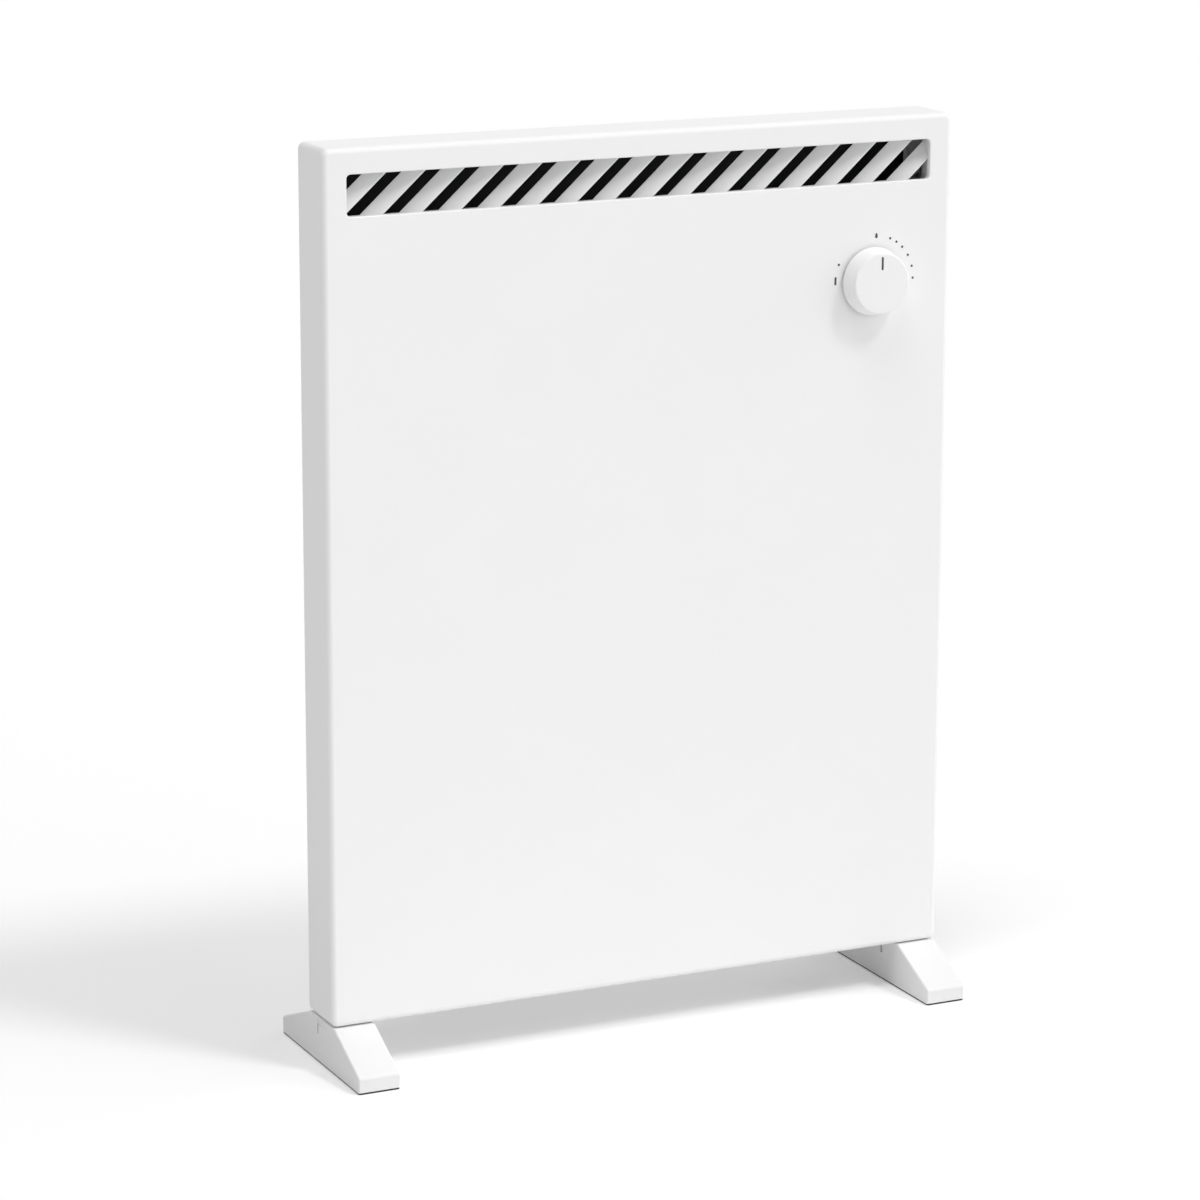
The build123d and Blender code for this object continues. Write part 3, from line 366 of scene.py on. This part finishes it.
WHITE = (0.90, 0.90, 0.90)
surface(
    "white_coat", tinted(WHITE, 1.04), 0.45,
    grain=900.0, depth=0.00003, strength=0.14, spread=0.004, specular=0.2,
)
surface(
    "knob_plastic", tinted(WHITE, 1.04), 0.38,
    grain=3200.0, depth=0.000015, strength=0.10, spread=0.003, specular=0.3,
)
surface("white_plastic", tinted(WHITE, 0.96), 0.42, grain=2600.0, strength=0.14, spread=0.004, specular=0.3)
surface("grille_plastic", tinted(WHITE, 0.97), 0.45, grain=2600.0, strength=0.14, spread=0.006, specular=0.3)
# Black coat of the air deflector behind the grille: partly a real heat-resistant coat and partly painted
# shade, chosen black so the deep shade behind the slats renders black.
surface("black_coat", (0.012, 0.012, 0.012), 0.7, grain=1800.0, strength=0.3, spread=0.2, specular=0.2)
surface("galvanised", (0.55, 0.56, 0.57), 0.38, 1.0, grain=260.0, strength=0.12, spread=0.10, cells=140.0)
surface("zinc_plated", (0.66, 0.66, 0.64), 0.28, 1.0, grain=2400.0, strength=0.15, spread=0.05, mottle=120.0)
surface("rod_sheath", (0.20, 0.18, 0.17), 0.42, 1.0, grain=1400.0, spread=0.18, mottle=60.0)
surface(
    "fin_alloy", (0.72, 0.73, 0.74), 0.33, 1.0,
    grain=700.0, strength=0.3, stretch=(0.02, 1, 1), spread=0.04,
)
surface("dark_plastic", (0.03, 0.03, 0.03), 0.48, grain=2600.0, spread=0.12)
surface("natural_plastic", (0.72, 0.70, 0.62), 0.45, grain=2200.0, spread=0.03)
surface("pointer_grey", (0.055, 0.055, 0.057), 0.55, grain=3000.0, spread=0.06)
# Black rubber of the soles; its black edge under each foot also stands in for the contact shadow there, so
# it is partly painted shade.
surface("sole_rubber", (0.03, 0.03, 0.03), 0.75, grain=1800.0, strength=0.35, spread=0.15, specular=0.3)
surface("lead_brown", (0.16, 0.07, 0.03), 0.5, grain=2000.0, spread=0.08)
surface("lead_blue", (0.04, 0.12, 0.34), 0.5, grain=2000.0, spread=0.08)
surface("lead_white", (0.74, 0.73, 0.69), 0.5, grain=2000.0, spread=0.04)
surface("lead_green", (0.10, 0.30, 0.07), 0.5, grain=2000.0, spread=0.08)
surface("contact_brass", (0.66, 0.50, 0.22), 0.3, 1.0, grain=2200.0, spread=0.08, mottle=80.0)
surface("copper_bulb", (0.62, 0.32, 0.19), 0.3, 1.0, grain=2200.0, spread=0.10, mottle=60.0)
surface("white_ceramic", (0.82, 0.80, 0.74), 0.6, grain=1800.0, spread=0.03)

for entry in frame["record"]["subparts"]:
    kept = frame["nodes"][entry["node"]]
    kept.data.materials.clear()
    kept.data.materials.append(materials[entry["material_slot"]])


# ---- Casing ----
LEAST_CORNER = 0.3


def tray_block(name, inset, near_y, far_y, front_round, back_round):
    """A block with the panel's outline less an inset, rounded at its front and its back edge."""
    def ring(further, y):
        trim = inset + further
        radius = max(CORNER - trim, LEAST_CORNER)
        outline = rounded_rect(panel_width - 2 * trim, panel_height - 2 * trim, radius, 8, (0, mid_z))
        return at_y(outline, y)

    rings = [ring(inward, far_y - back) for inward, back in reversed(quarter(back_round, 4))]
    rings += [ring(inward, near_y + back) for inward, back in quarter(front_round, 8)]
    return solid(name, rings)


def window_outline(grow, radius):
    """Outline of the window, grown on each side, with its own corner radius."""
    return rounded_rect(WINDOW_WIDTH + 2 * grow, WINDOW_HEIGHT + 2 * grow, radius, 6, (0, window_z))


INTAKE_LENGTH = 34.0
INTAKE_WIDTH = 5.0
INTAKE_PITCH = 46.0
INTAKE_COUNT = 8
INTAKE_FRONT = 12.0
INTAKE_REAR = 31.0
GLAND_X = 150.0
GLAND_DEEP = 30.0
GLAND_HOLE = 6.3
GLAND_CLEAR = 31.0
SPINDLE_HOLE = 4.0
STUD_RADIUS = 1.5
STUD_INSET = 4.0
STUD_REACH = 3.0


def stud_places():
    """The grille's weld studs, three above and three below the window."""
    reach_x = WINDOW_WIDTH / 2 + STUD_INSET
    reach_z = WINDOW_HEIGHT / 2 + STUD_INSET
    return [(x, window_z + side * reach_z) for x in (-reach_x, 0, reach_x) for side in (-1, 1)]


def underside_holes():
    """Cutters for the two rows of intake slots and for the cable gland."""
    outlines = [polygon(GLAND_HOLE, 32, (GLAND_X, front_y + GLAND_DEEP))]
    for row in (INTAKE_FRONT, INTAKE_REAR):
        for k in range(INTAKE_COUNT):
            x = (k - (INTAKE_COUNT - 1) / 2) * INTAKE_PITCH
            if row == INTAKE_FRONT or abs(x - GLAND_X) > GLAND_CLEAR:
                centre = (x, front_y + row)
                outlines.append(rounded_rect(INTAKE_LENGTH, INTAKE_WIDTH, INTAKE_WIDTH / 2, 6, centre))
    cutters = [[at_z(outline, base_z - OVERCUT), at_z(outline, base_z + OVERCUT)] for outline in outlines]
    return solid("holes", *cutters)


def make_cover():
    """Pressed tray: rounded front, rolled window edge, return flange, slots and holes."""
    cover = tray_block("front_cover_skin", 0.0, front_y, cover_back_y, FRONT_ROUND, BACK_ROUND)
    cavity = tray_block(
        "cavity", SHEET, front_y + SHEET, cover_back_y - SHEET, FRONT_ROUND - SHEET, BACK_ROUND - SHEET
    )
    mouth = rounded_rect(panel_width - 2 * FLANGE, panel_height - 2 * FLANGE, CORNER / 2, 4, (0, mid_z))
    mouth = [at_y(mouth, cover_back_y - OVERCUT), at_y(mouth, cover_back_y + OVERCUT)]
    cut(cover, cavity, solid("mouth", mouth))
    hem = window_outline(SHEET, WINDOW_RADIUS + SHEET)
    join(cover, solid("hem", [at_y(hem, front_y + SHEET / 2), at_y(hem, front_y + HEM_DEPTH)]))
    flare = [(0.0, HEM_DEPTH + OVERCUT)] + quarter(HEM_ROUND, 5) + [(HEM_ROUND, -OVERCUT)]
    opening = [at_y(window_outline(grow, WINDOW_RADIUS + grow), front_y + back) for grow, back in flare]
    spindle = polygon(SPINDLE_HOLE, 32, (dial_x, dial_z))
    spindle = [at_y(spindle, front_y - OVERCUT), at_y(spindle, front_y + OVERCUT)]
    cut(cover, solid("opening", opening), underside_holes(), solid("spindle_hole", spindle))
    studs = [polygon(STUD_RADIUS, 16, place) for place in stud_places()]
    end = front_y + HEM_DEPTH + GRILLE_DEPTH + STUD_REACH
    studs = [[at_y(outline, front_y + SHEET / 2), at_y(outline, end)] for outline in studs]
    join(cover, solid("studs", *studs))
    piece(cover, "casing", "white_coat", "front_cover")


HOOK_X = 150.0
HOOK_Z = 534.0
HOOK_HEAD = 5.5
HOOK_NECK = 2.75
HOOK_RISE = 9.0
BEAD_X = (-150.0, 0.0, 150.0)
BEAD_LOW = 80.0
BEAD_HEIGHT = 330.0
BEAD_WIDTH = 14.0
BEAD_DEPTH = 2.0
BEAD_SLOPE = 2.2
BEAD_EASE = 0.2
BEAD_STEPS = 6
CASE_SCREW_HOLE = 2.0
CASE_SCREW_SHARE = 0.86
REAR_EDGE = 0.25
REAR_SHARP_EDGE = 24


def bead(x, grow, mouth_y, floor_y):
    """Rings of a long pressed groove with sloping sides, from its mouth to its floor."""
    rings = []
    for i in range(BEAD_STEPS + 1):
        share = i / BEAD_STEPS
        inward = BEAD_SLOPE * (share - math.sin(2 * math.pi * share) / (2 * math.pi) * BEAD_EASE)
        sink = (1 - math.cos(math.pi * share)) / 2
        width = BEAD_WIDTH + 2 * grow - 2 * inward
        centre = (x, base_z + BEAD_LOW + BEAD_HEIGHT / 2)
        outline = rounded_rect(width, BEAD_HEIGHT + 2 * grow - 2 * inward, width / 2, 8, centre)
        rings.append(at_y(outline, mouth_y + (floor_y - mouth_y) * sink))
    return rings


def keyhole(side):
    """Outline of a round mouth with a narrow neck above it."""
    half = math.asin(HOOK_NECK / HOOK_HEAD)
    sweep = 2 * math.pi - 2 * half
    mouth_angles = [math.pi / 2 + half + sweep * i / 28 for i in range(29)]
    neck_angles = [math.pi * i / 12 for i in range(13)]
    points = [(HOOK_HEAD * math.cos(a), HOOK_HEAD * math.sin(a)) for a in mouth_angles]
    points += [(HOOK_NECK * math.cos(a), HOOK_RISE + HOOK_NECK * math.sin(a)) for a in neck_angles]
    return [(side * HOOK_X + x, HOOK_Z + z) for x, z in points]


def case_screw_places():
    """Three screws up each side of the rear panel, and one in the middle of its lower and its upper edge."""
    x = panel_width / 2 - FLANGE / 2 - SHEET
    z = panel_height / 2 - FLANGE / 2 - SHEET
    shares = (-CASE_SCREW_SHARE, 0, CASE_SCREW_SHARE)
    sides = [(side * x, mid_z + z * share) for side in (-1, 1) for share in shares]
    return sides + [(0, mid_z - z), (0, mid_z + z)]


def make_rear_panel():
    """Flat back with pressed beads, keyholes and screw holes."""
    def ring(trim, y):
        width, height = panel_width - 2 * trim, panel_height - 2 * trim
        return at_y(rounded_rect(width, height, CORNER - SEAM, 6, (0, mid_z)), y)

    inner_y = back_y - SHEET
    rings = [ring(SEAM, inner_y), ring(SEAM, back_y - REAR_EDGE), ring(SEAM + REAR_EDGE, back_y)]
    panel = solid("rear_panel_skin", rings)
    for x in BEAD_X:
        ridge = bead(x, SHEET, inner_y, inner_y - BEAD_DEPTH)
        root = at_y([(p.x, p.z) for p in ridge[0]], back_y - SHEET / 2)
        join(panel, solid("ridge", [root] + ridge))
    for x in BEAD_X:
        groove = bead(x, 0.0, back_y, back_y - BEAD_DEPTH)
        mouth = at_y([(p.x, p.z) for p in groove[0]], back_y + OVERCUT)
        cut(panel, solid("groove", [mouth] + groove))
    outlines = [keyhole(-1), keyhole(1)]
    outlines += [polygon(CASE_SCREW_HOLE, 24, place) for place in case_screw_places()]
    holes = [[at_y(outline, back_y - OVERCUT), at_y(outline, back_y + OVERCUT)] for outline in outlines]
    cut(panel, solid("holes", *holes))
    piece(panel, "casing", "white_coat", "rear_panel", sharp=REAR_SHARP_EDGE)


SHANK_RADIUS = 1.5
SHANK_LENGTH = 8.0
HEAD_HEIGHT = 1.0
# Radius and height up the outside of a screw's head.
HEAD_PROFILE = ((3.4, 0.0), (3.4, 0.35), (3.1, 0.68), (2.4, 0.88), (1.3, 0.98), (0, HEAD_HEIGHT))
RECESS_LENGTH = 3.2
RECESS_WIDTH = 0.6
RECESS_ROUND = 0.15
RECESS_TAPER = 0.6
RECESS_FLOOR = 0.25
RECESS_MOUTH = HEAD_HEIGHT + 0.2


def make_case_screws():
    """Domed heads with a cross recess, in the rear panel's holes."""
    shank = [(0, -SHANK_LENGTH), (SHANK_RADIUS, -SHANK_LENGTH), (SHANK_RADIUS, 0.0)]
    screw = solid("case_screws_set", turned(shank + list(HEAD_PROFILE), 32))
    for width, height in ((RECESS_LENGTH, RECESS_WIDTH), (RECESS_WIDTH, RECESS_LENGTH)):
        mouth = rounded_rect(width, height, RECESS_ROUND, 2)
        floor = rounded_rect(width * RECESS_TAPER, height * RECESS_TAPER, RECESS_ROUND * 2 / 3, 2)
        cut(screw, solid("recess", [at_z(mouth, RECESS_MOUTH), at_z(floor, RECESS_FLOOR)]))
    spots = [facing((x, back_y, z), (0, 1, 0)) for x, z in case_screw_places()]
    piece(copies(screw, spots), "casing", "zinc_plated", "case_screws")


# ---- Louvre grille ----
GRILLE_RIM = 8.0
GRILLE_DEPTH = 9.6
RIM_HOLLOW = 1.0
SLAT_PITCH = 28.75
SLAT_LEAD = 0.1
SLAT_ANGLE = math.radians(42.0)
SLAT_WIDTH = 9.9
SLAT_DROP = 7.8
SLAT_THICKNESS = 1.4
SLAT_ROUND = 0.4
SLAT_SETBACK = 0.4
SLAT_COUNT = 18
SLAT_END_GAP = 0.3
STUD_CLEARANCE = 0.1


def slat(front_edge_x):
    """A blade rising to the right, its lower right edge forward and its other edge deep and up left."""
    half = SLAT_THICKNESS / 2
    start = Vector((-half, half))
    end = Vector((half - SLAT_WIDTH, half + SLAT_DROP))
    along = (end - start).normalized()
    over = Vector((-along.y, along.x)) * half
    corners = [start + over, end + over, end - over, start - over]
    outline = filleted([tuple(c) for c in corners], [SLAT_ROUND] * 4, 4)
    run, rise = math.cos(SLAT_ANGLE), math.sin(SLAT_ANGLE)
    x_dir, length = Vector((rise, 0, -run)), Vector((run, 0, rise))
    centre = Vector((front_edge_x, front_y + HEM_DEPTH + SLAT_SETBACK, window_z - WINDOW_HEIGHT / 2))
    reach = 3 * WINDOW_HEIGHT
    section = [centre + x_dir * a + Vector((0, b, 0)) for a, b in outline]
    return solid("slat", [[point + length * far for point in section] for far in (-reach, reach)])


def make_grille():
    """Frame behind the window, crossed by slanted slats at an even pitch."""
    near_y = front_y + HEM_DEPTH
    far_y = near_y + GRILLE_DEPTH
    outer = window_outline(GRILLE_RIM, WINDOW_RADIUS + GRILLE_RIM / 2)
    hole = window_outline(RIM_HOLLOW, WINDOW_RADIUS)
    middle = window_outline(GRILLE_RIM / 2, WINDOW_RADIUS)
    grille = solid("louvre_grille_set", [at_y(outer, near_y), at_y(outer, far_y)])
    cut(grille, solid("hole", [at_y(hole, near_y - OVERCUT), at_y(hole, far_y + OVERCUT)]))
    first_x = -WINDOW_WIDTH / 2 + SLAT_LEAD - SLAT_PITCH
    for k in range(SLAT_COUNT):
        blade = slat(first_x + k * SLAT_PITCH)
        space = [at_y(middle, near_y + SLAT_END_GAP), at_y(middle, far_y - SLAT_END_GAP)]
        combine(blade, "INTERSECT", [solid("space", space)])
        join(grille, blade)
    holes = [polygon(STUD_RADIUS + STUD_CLEARANCE, 16, place) for place in stud_places()]
    holes = [[at_y(outline, near_y - OVERCUT), at_y(outline, far_y + OVERCUT)] for outline in holes]
    cut(grille, solid("holes", *holes))
    piece(grille, "casing", "grille_plastic", "louvre_grille")


# ---- Dial ----
KNOB_GAP = 0.8
KNOB_FRONT = 15.2
KNOB_BASE = 24.4
KNOB_FACE = 22.0
KNOB_ROUND = 1.5
KNOB_WALL = 2.0
KNOB_RIM = 1.9
KNOB_DRAFT = 1.5
# How far the rim's outer edge is softened: in and up, from its flat to the taper.
RIM_EDGE = ((0.35, 0.0), (0.1, 0.1), (0.0, 0.35))
KNOB_STEPS = 120
HUB_RADIUS = 6.0
HUB_BORE = 3.05
HUB_FLOOR = 3.0
RIB_COUNT = 4
RIB_THICKNESS = 1.2
RIB_LENGTH = 15.6
RIB_CENTRE = 13.0
RIB_ROOT = 0.5
POINTER_WIDTH = 1.6
POINTER_LENGTH = 9.5
POINTER_END = 19.2
POINTER_GROOVE = 0.6
POINTER_CLEARANCE = 0.03
POINTER_SINK = 0.02
dial_spot = facing((dial_x, front_y, dial_z), (0, -1, 0))


def pointer_outline(grow=0.0):
    """Outline of the bar on the dial's face, grown on each side."""
    width, length = POINTER_WIDTH + 2 * grow, POINTER_LENGTH + 2 * grow
    return rounded_rect(width, length, width / 2, 6, (0, POINTER_END - POINTER_LENGTH / 2))


def make_knob():
    """Tapered hollow dial with a rounded front edge, a hub, ribs and a pointer groove."""
    floor = KNOB_FRONT - KNOB_WALL
    hollow = KNOB_FACE - KNOB_WALL
    bore_end = KNOB_FRONT - HUB_FLOOR
    groove_floor = KNOB_FRONT - POINTER_GROOVE
    profile = [
        (0, bore_end), (HUB_BORE, bore_end), (HUB_BORE, KNOB_GAP), (HUB_RADIUS, KNOB_GAP),
        (HUB_RADIUS, floor), (hollow, floor), (hollow + KNOB_DRAFT, KNOB_RIM),
    ]
    profile += [(KNOB_BASE - inward, KNOB_RIM + rise) for inward, rise in RIM_EDGE]
    profile += [(KNOB_FACE - inward, KNOB_FRONT - back) for inward, back in quarter(KNOB_ROUND, 7)]
    profile += [(KNOB_FACE / 2, KNOB_FRONT), (0, KNOB_FRONT)]
    knob = solid("knob_moulding", turned(profile, KNOB_STEPS, dial_spot))
    rib = rounded_rect(RIB_LENGTH, RIB_THICKNESS, 0.2, 2)
    for k in range(RIB_COUNT):
        turn = Matrix.Rotation(2 * math.pi * (k + 0.5) / RIB_COUNT, 4, "Z")
        spoke = dial_spot @ turn @ Matrix.Translation((RIB_CENTRE, 0, 0))
        join(knob, solid("rib", [on(spoke, rib, KNOB_FRONT / 2), on(spoke, rib, floor + RIB_ROOT)]))
    groove = pointer_outline(POINTER_CLEARANCE)
    groove = [on(dial_spot, groove, groove_floor), on(dial_spot, groove, KNOB_FRONT + OVERCUT)]
    cut(knob, solid("groove", groove))
    piece(knob, "dial", "knob_plastic", "knob")
    bar = pointer_outline()
    bar = [on(dial_spot, bar, groove_floor), on(dial_spot, bar, KNOB_FRONT - POINTER_SINK)]
    piece(solid("pointer_inlay", bar), "dial", "pointer_grey", "knob_pointer")


SCALE_RADIUS = 31.2
SCALE_SHIFT = (1.8, 0.8)
BAR_ANGLE = -88.5
DROP_ANGLE = 2.2
DOT_ANGLES = (-66.8, 23.4, 34.0, 45.3, 59.5, 75.6, 91.5)
DOT_RADIUS = 0.9
BAR_LENGTH = 5.7
BAR_WIDTH = 1.6
BAR_ROUND = 0.3
DROP_CORNERS = ((-1.3, -1.8), (1.3, -1.8), (0.7, 1.8), (-0.7, 1.8))
DROP_ROUNDS = (1.1, 1.1, 0.65, 0.65)
INK = 0.03


def make_scale():
    """Printed marks round the dial: a bar, a drop and dots, each a little proud of the cover."""
    marks = [(angle, polygon(DOT_RADIUS, 24)) for angle in DOT_ANGLES]
    marks.append((BAR_ANGLE, rounded_rect(BAR_LENGTH, BAR_WIDTH, BAR_ROUND, 3)))
    marks.append((DROP_ANGLE, filleted(DROP_CORNERS, DROP_ROUNDS)))
    centre = dial_spot @ Matrix.Translation((*SCALE_SHIFT, 0))
    skins = []
    for angle, outline in marks:
        turn = Matrix.Rotation(-math.radians(angle), 4, "Z")
        spot = centre @ turn @ Matrix.Translation((0, SCALE_RADIUS, 0))
        skins.append([on(spot, outline, -INK), on(spot, outline, INK)])
    piece(solid("scale_marks", *skins), "casing", "pointer_grey")


# ---- Feet ----
FOOT_LENGTH = 144.0
FRONT_LIP = 11.8
BACK_LIP = 12.8
FOOT_GAP = 0.6
FOOT_WALL = 2.5
FOOT_ROUND = 1.3
SOLE_ROUND = 0.3
LIP_ROUND = 3.0
KNEE_ROUND = 3.0
LEAST_ROUND = 0.2
# The hollow's corners are rounded by this share of the outside's.
HOLLOW_ROUNDING = 0.3
SEAT_MARGIN = 3.0
SEAT_CORNER = 2.0
SEAT_CLEARANCE = 0.01
NOTCH_HEIGHT = 8.0
NOTCH_BELOW = 5.6
OUTER_NOTCH = 30.5
OUTER_WIDTH = 2.2
INNER_NOTCH = 24.7
INNER_WIDTH = 3.4
NOTCH_REACH = 3.5
THUMB_LENGTH = 15.0
THUMB_HEIGHT = 4.4
THUMB_BELOW = 0.9
THUMB_RECESS = 0.8
BOSS_RADIUS = 6.5
BOSS_HEIGHT = 8.0
FOOT_SCREW_DEEP = (11.0, 34.0)
FOOT_HOLE = 2.8
# The sole is grown past its CAD size so more of its black shows under the foot's edge, as painted contact
# shadow.
PAD_GROW = 0.6
PAD_CORNER = 1.6
PAD_ROUND = 0.3
PAD_TOP_ROUND = 0.1
foot_top = base_z - FOOT_GAP


def foot_profile(shrink, rounding=1.0):
    """Side view of a foot: two low lips, two slopes and a flat top, moved in except at the floor."""
    end = FOOT_LENGTH / 2 - shrink
    corners = [
        (-end, pad_top), (end, pad_top), (end, BACK_LIP - shrink), (back_y - shrink / 2, foot_top - shrink),
        (front_y + shrink / 2, foot_top - shrink), (-end, FRONT_LIP - shrink),
    ]
    radii = [SOLE_ROUND, SOLE_ROUND, LIP_ROUND, KNEE_ROUND, KNEE_ROUND, LIP_ROUND]
    return filleted(corners, [max(r * rounding, LEAST_ROUND) for r in radii])


def across(outline, left, right):
    """Rings of an outline in y and z, from left to right."""
    return [at_x(outline, left), at_x(outline, right)]


def make_foot(side, name):
    """Hollow moulded foot with screw bosses, a raised seat, snap notches and thumb recesses."""
    centre = side * foot_centre_x
    left, right = centre - foot_width / 2, centre + foot_width / 2
    inner = left if side > 0 else right
    outer = right if side > 0 else left
    rings = [at_x(foot_profile(inward), left + back) for inward, back in reversed(quarter(FOOT_ROUND, 5))]
    rings += [at_x(foot_profile(inward), right - back) for inward, back in quarter(FOOT_ROUND, 5)]
    foot = solid(f"{name}_moulding", rings)
    hollow = foot_profile(FOOT_WALL, HOLLOW_ROUNDING)
    hollow = [(y, z if z > pad_top + 1 else z - OVERCUT) for y, z in hollow]
    cut(foot, solid("hollow", across(hollow, left + FOOT_WALL, right - FOOT_WALL)))
    middle_of_top = foot_top - FOOT_WALL / 2
    boss_low = foot_top - FOOT_WALL - BOSS_HEIGHT
    screws = [(centre, front_y + deep) for deep in FOOT_SCREW_DEEP]
    bosses = [polygon(BOSS_RADIUS, 32, place) for place in screws]
    parts = [solid("boss", [at_z(boss, boss_low), at_z(boss, middle_of_top)]) for boss in bosses]
    seat_length = back_y - front_y - 2 * (FRONT_ROUND + SEAT_MARGIN)
    seat_centre = (centre, (front_y + back_y) / 2)
    seat = rounded_rect(foot_width - 2 * SEAT_MARGIN, seat_length, SEAT_CORNER, 4, seat_centre)
    parts.append(solid("seat", [at_z(seat, middle_of_top), at_z(seat, base_z - SEAT_CLEARANCE)]))
    join(foot, *parts)
    holes = [polygon(FOOT_HOLE, 24, place) for place in screws]
    cut(foot, solid("holes", *[[at_z(o, boss_low - OVERCUT), at_z(o, base_z + OVERCUT)] for o in holes]))
    notch_z = base_z - NOTCH_BELOW - NOTCH_HEIGHT / 2
    for x, deep, width in ((outer, OUTER_NOTCH, OUTER_WIDTH), (inner, INNER_NOTCH, INNER_WIDTH)):
        slot = rounded_rect(width, NOTCH_HEIGHT, 0.4, 3, (front_y + deep, notch_z))
        cut(foot, solid("slot", across(slot, x - NOTCH_REACH, x + NOTCH_REACH)))
    thumb_z = foot_top - THUMB_BELOW - THUMB_HEIGHT / 2
    outer_y = front_y + OUTER_NOTCH - THUMB_LENGTH / 2
    inner_y = front_y + INNER_NOTCH + THUMB_LENGTH / 2
    for x, y in ((outer, outer_y), (inner, inner_y)):
        recess = rounded_rect(THUMB_LENGTH, THUMB_HEIGHT, 0.6, 3, (y, thumb_z))
        cut(foot, solid("thumb", across(recess, x - THUMB_RECESS, x + THUMB_RECESS)))
    piece(foot, "casing", "white_plastic", name)


def make_pad(name):
    """Rubber sole with softened edges, grown out towards the foot's edge so that its black also stands in
    for the contact shadow under the foot: partly painted shade.
    """
    low, high = box_mm(name)
    centre = ((low.x + high.x) / 2, (low.y + high.y) / 2)
    width, length = high.x - low.x + 2 * PAD_GROW, high.y - low.y + 2 * PAD_GROW
    edges = (
        (PAD_ROUND, 0.0), (0.0, PAD_ROUND), (0.0, high.z - PAD_TOP_ROUND), (PAD_TOP_ROUND, high.z),
    )
    rings = [
        at_z(rounded_rect(width - 2 * trim, length - 2 * trim, PAD_CORNER, 4, centre), z)
        for trim, z in edges
    ]
    piece(solid(f"{name}_sole", rings), "casing", "sole_rubber", name)


make_cover()
make_rear_panel()
make_case_screws()
make_grille()
make_knob()
make_scale()
make_foot(-1, "left_foot")
make_foot(1, "right_foot")
make_pad("left_foot_pad")
make_pad("right_foot_pad")


# ---- Studio ----
# The camera, in metres and degrees. The focal length is in widths of the picture.
FOCAL = 4315.29 / 1200
SENSOR = 36.0
SHIFT = -0.04
EYE = (-1.29147, -2.67525, 1.02757)
YAW, PITCH, ROLL = (math.radians(a) for a in (25.373, 12.944, 0.130))
# Each lamp's name, rise above the floor, turn to the right of the panel's front and spread, all in
# degrees, and its strength.
LAMPS = (
    ("key", 55, 38, 12, 0.78),
    ("fill", 70, -45, 20, 0.74),
    ("front", 20, 30, 60, 0.42),
    ("side", 20, 75, 60, 0.86),
)
AMBIENT = 0.35
FLOOR_RADIUS = 14.0
FLOOR_DEPTH = 0.02
FLOOR_DROP = 0.0001
FLOOR_LIFT = 0.175


def make_camera():
    """The photograph's own view."""
    data = bpy.data.cameras.new("camera")
    data.sensor_width = SENSOR
    data.lens = FOCAL * SENSOR
    data.shift_y = SHIFT
    cam = bpy.data.objects.new("camera", data)
    bpy.context.scene.collection.objects.link(cam)
    look = Vector((math.sin(YAW) * math.cos(PITCH), math.cos(YAW) * math.cos(PITCH), -math.sin(PITCH)))
    right = Vector((math.cos(YAW), -math.sin(YAW), 0))
    up = right.cross(look)
    side = right * math.cos(ROLL) + up * math.sin(ROLL)
    top = up * math.cos(ROLL) - right * math.sin(ROLL)
    cam.matrix_world = Matrix.Translation(EYE) @ Matrix((side, top, -look)).transposed().to_4x4()
    bpy.context.scene.camera = cam


def make_lights():
    """Soft lamps, far away."""
    for name, rise, turn, spread, strength in LAMPS:
        data = bpy.data.lights.new(name, "SUN")
        data.angle = math.radians(spread)
        data.energy = strength
        lamp = bpy.data.objects.new(name, data)
        bpy.context.scene.collection.objects.link(lamp)
        rise, turn = math.radians(rise), math.radians(turn)
        source = Vector((math.sin(turn) * math.cos(rise), -math.cos(turn) * math.cos(rise), math.sin(rise)))
        lamp.matrix_world = facing(source, source)


def make_world():
    """White to the camera and in reflections, dimmer as a fill light."""
    world = bpy.data.worlds.new("studio")
    world.use_nodes = True
    tree = world.node_tree
    paths = tree.nodes.new("ShaderNodeLightPath")
    seen = paths.outputs["Is Camera Ray"]
    for name in ("Is Glossy Ray", "Is Transmission Ray"):
        either = tree.nodes.new("ShaderNodeMath")
        either.operation = "MAXIMUM"
        tree.links.new(seen, either.inputs[0])
        tree.links.new(paths.outputs[name], either.inputs[1])
        seen = either.outputs[0]
    strength = tree.nodes.new("ShaderNodeMapRange")
    strength.inputs["To Min"].default_value = AMBIENT
    tree.links.new(seen, strength.inputs["Value"])
    background = tree.nodes["Background"]
    background.inputs["Color"].default_value = (1, 1, 1, 1)
    tree.links.new(strength.outputs["Result"], background.inputs["Strength"])
    bpy.context.scene.world = world


def make_floor():
    """Pale floor, lifted a little for the camera, so that its lit part meets the white background."""
    n = Nodes("floor_white")
    n.shader.inputs["Base Color"].default_value = (0.9, 0.9, 0.9, 1)
    n.shader.inputs["Roughness"].default_value = 0.9
    n.shader.inputs["Specular IOR Level"].default_value = 0.0
    paths = n.tree.nodes.new("ShaderNodeLightPath")
    lift = n.tree.nodes.new("ShaderNodeMapRange")
    lift.inputs["To Max"].default_value = FLOOR_LIFT
    n.link(paths.outputs["Is Camera Ray"], lift.inputs["Value"])
    n.shader.inputs["Emission Color"].default_value = (1, 1, 1, 1)
    n.link(lift.outputs["Result"], n.shader.inputs["Emission Strength"])
    outline = polygon(FLOOR_RADIUS, 96)
    floor = solid("floor", [at_z(outline, -FLOOR_DEPTH), at_z(outline, -FLOOR_DROP)])
    floor.data.materials.append(n.material)


make_camera()
make_lights()
make_world()
make_floor()
bpy.context.scene.view_settings.view_transform = "Standard"
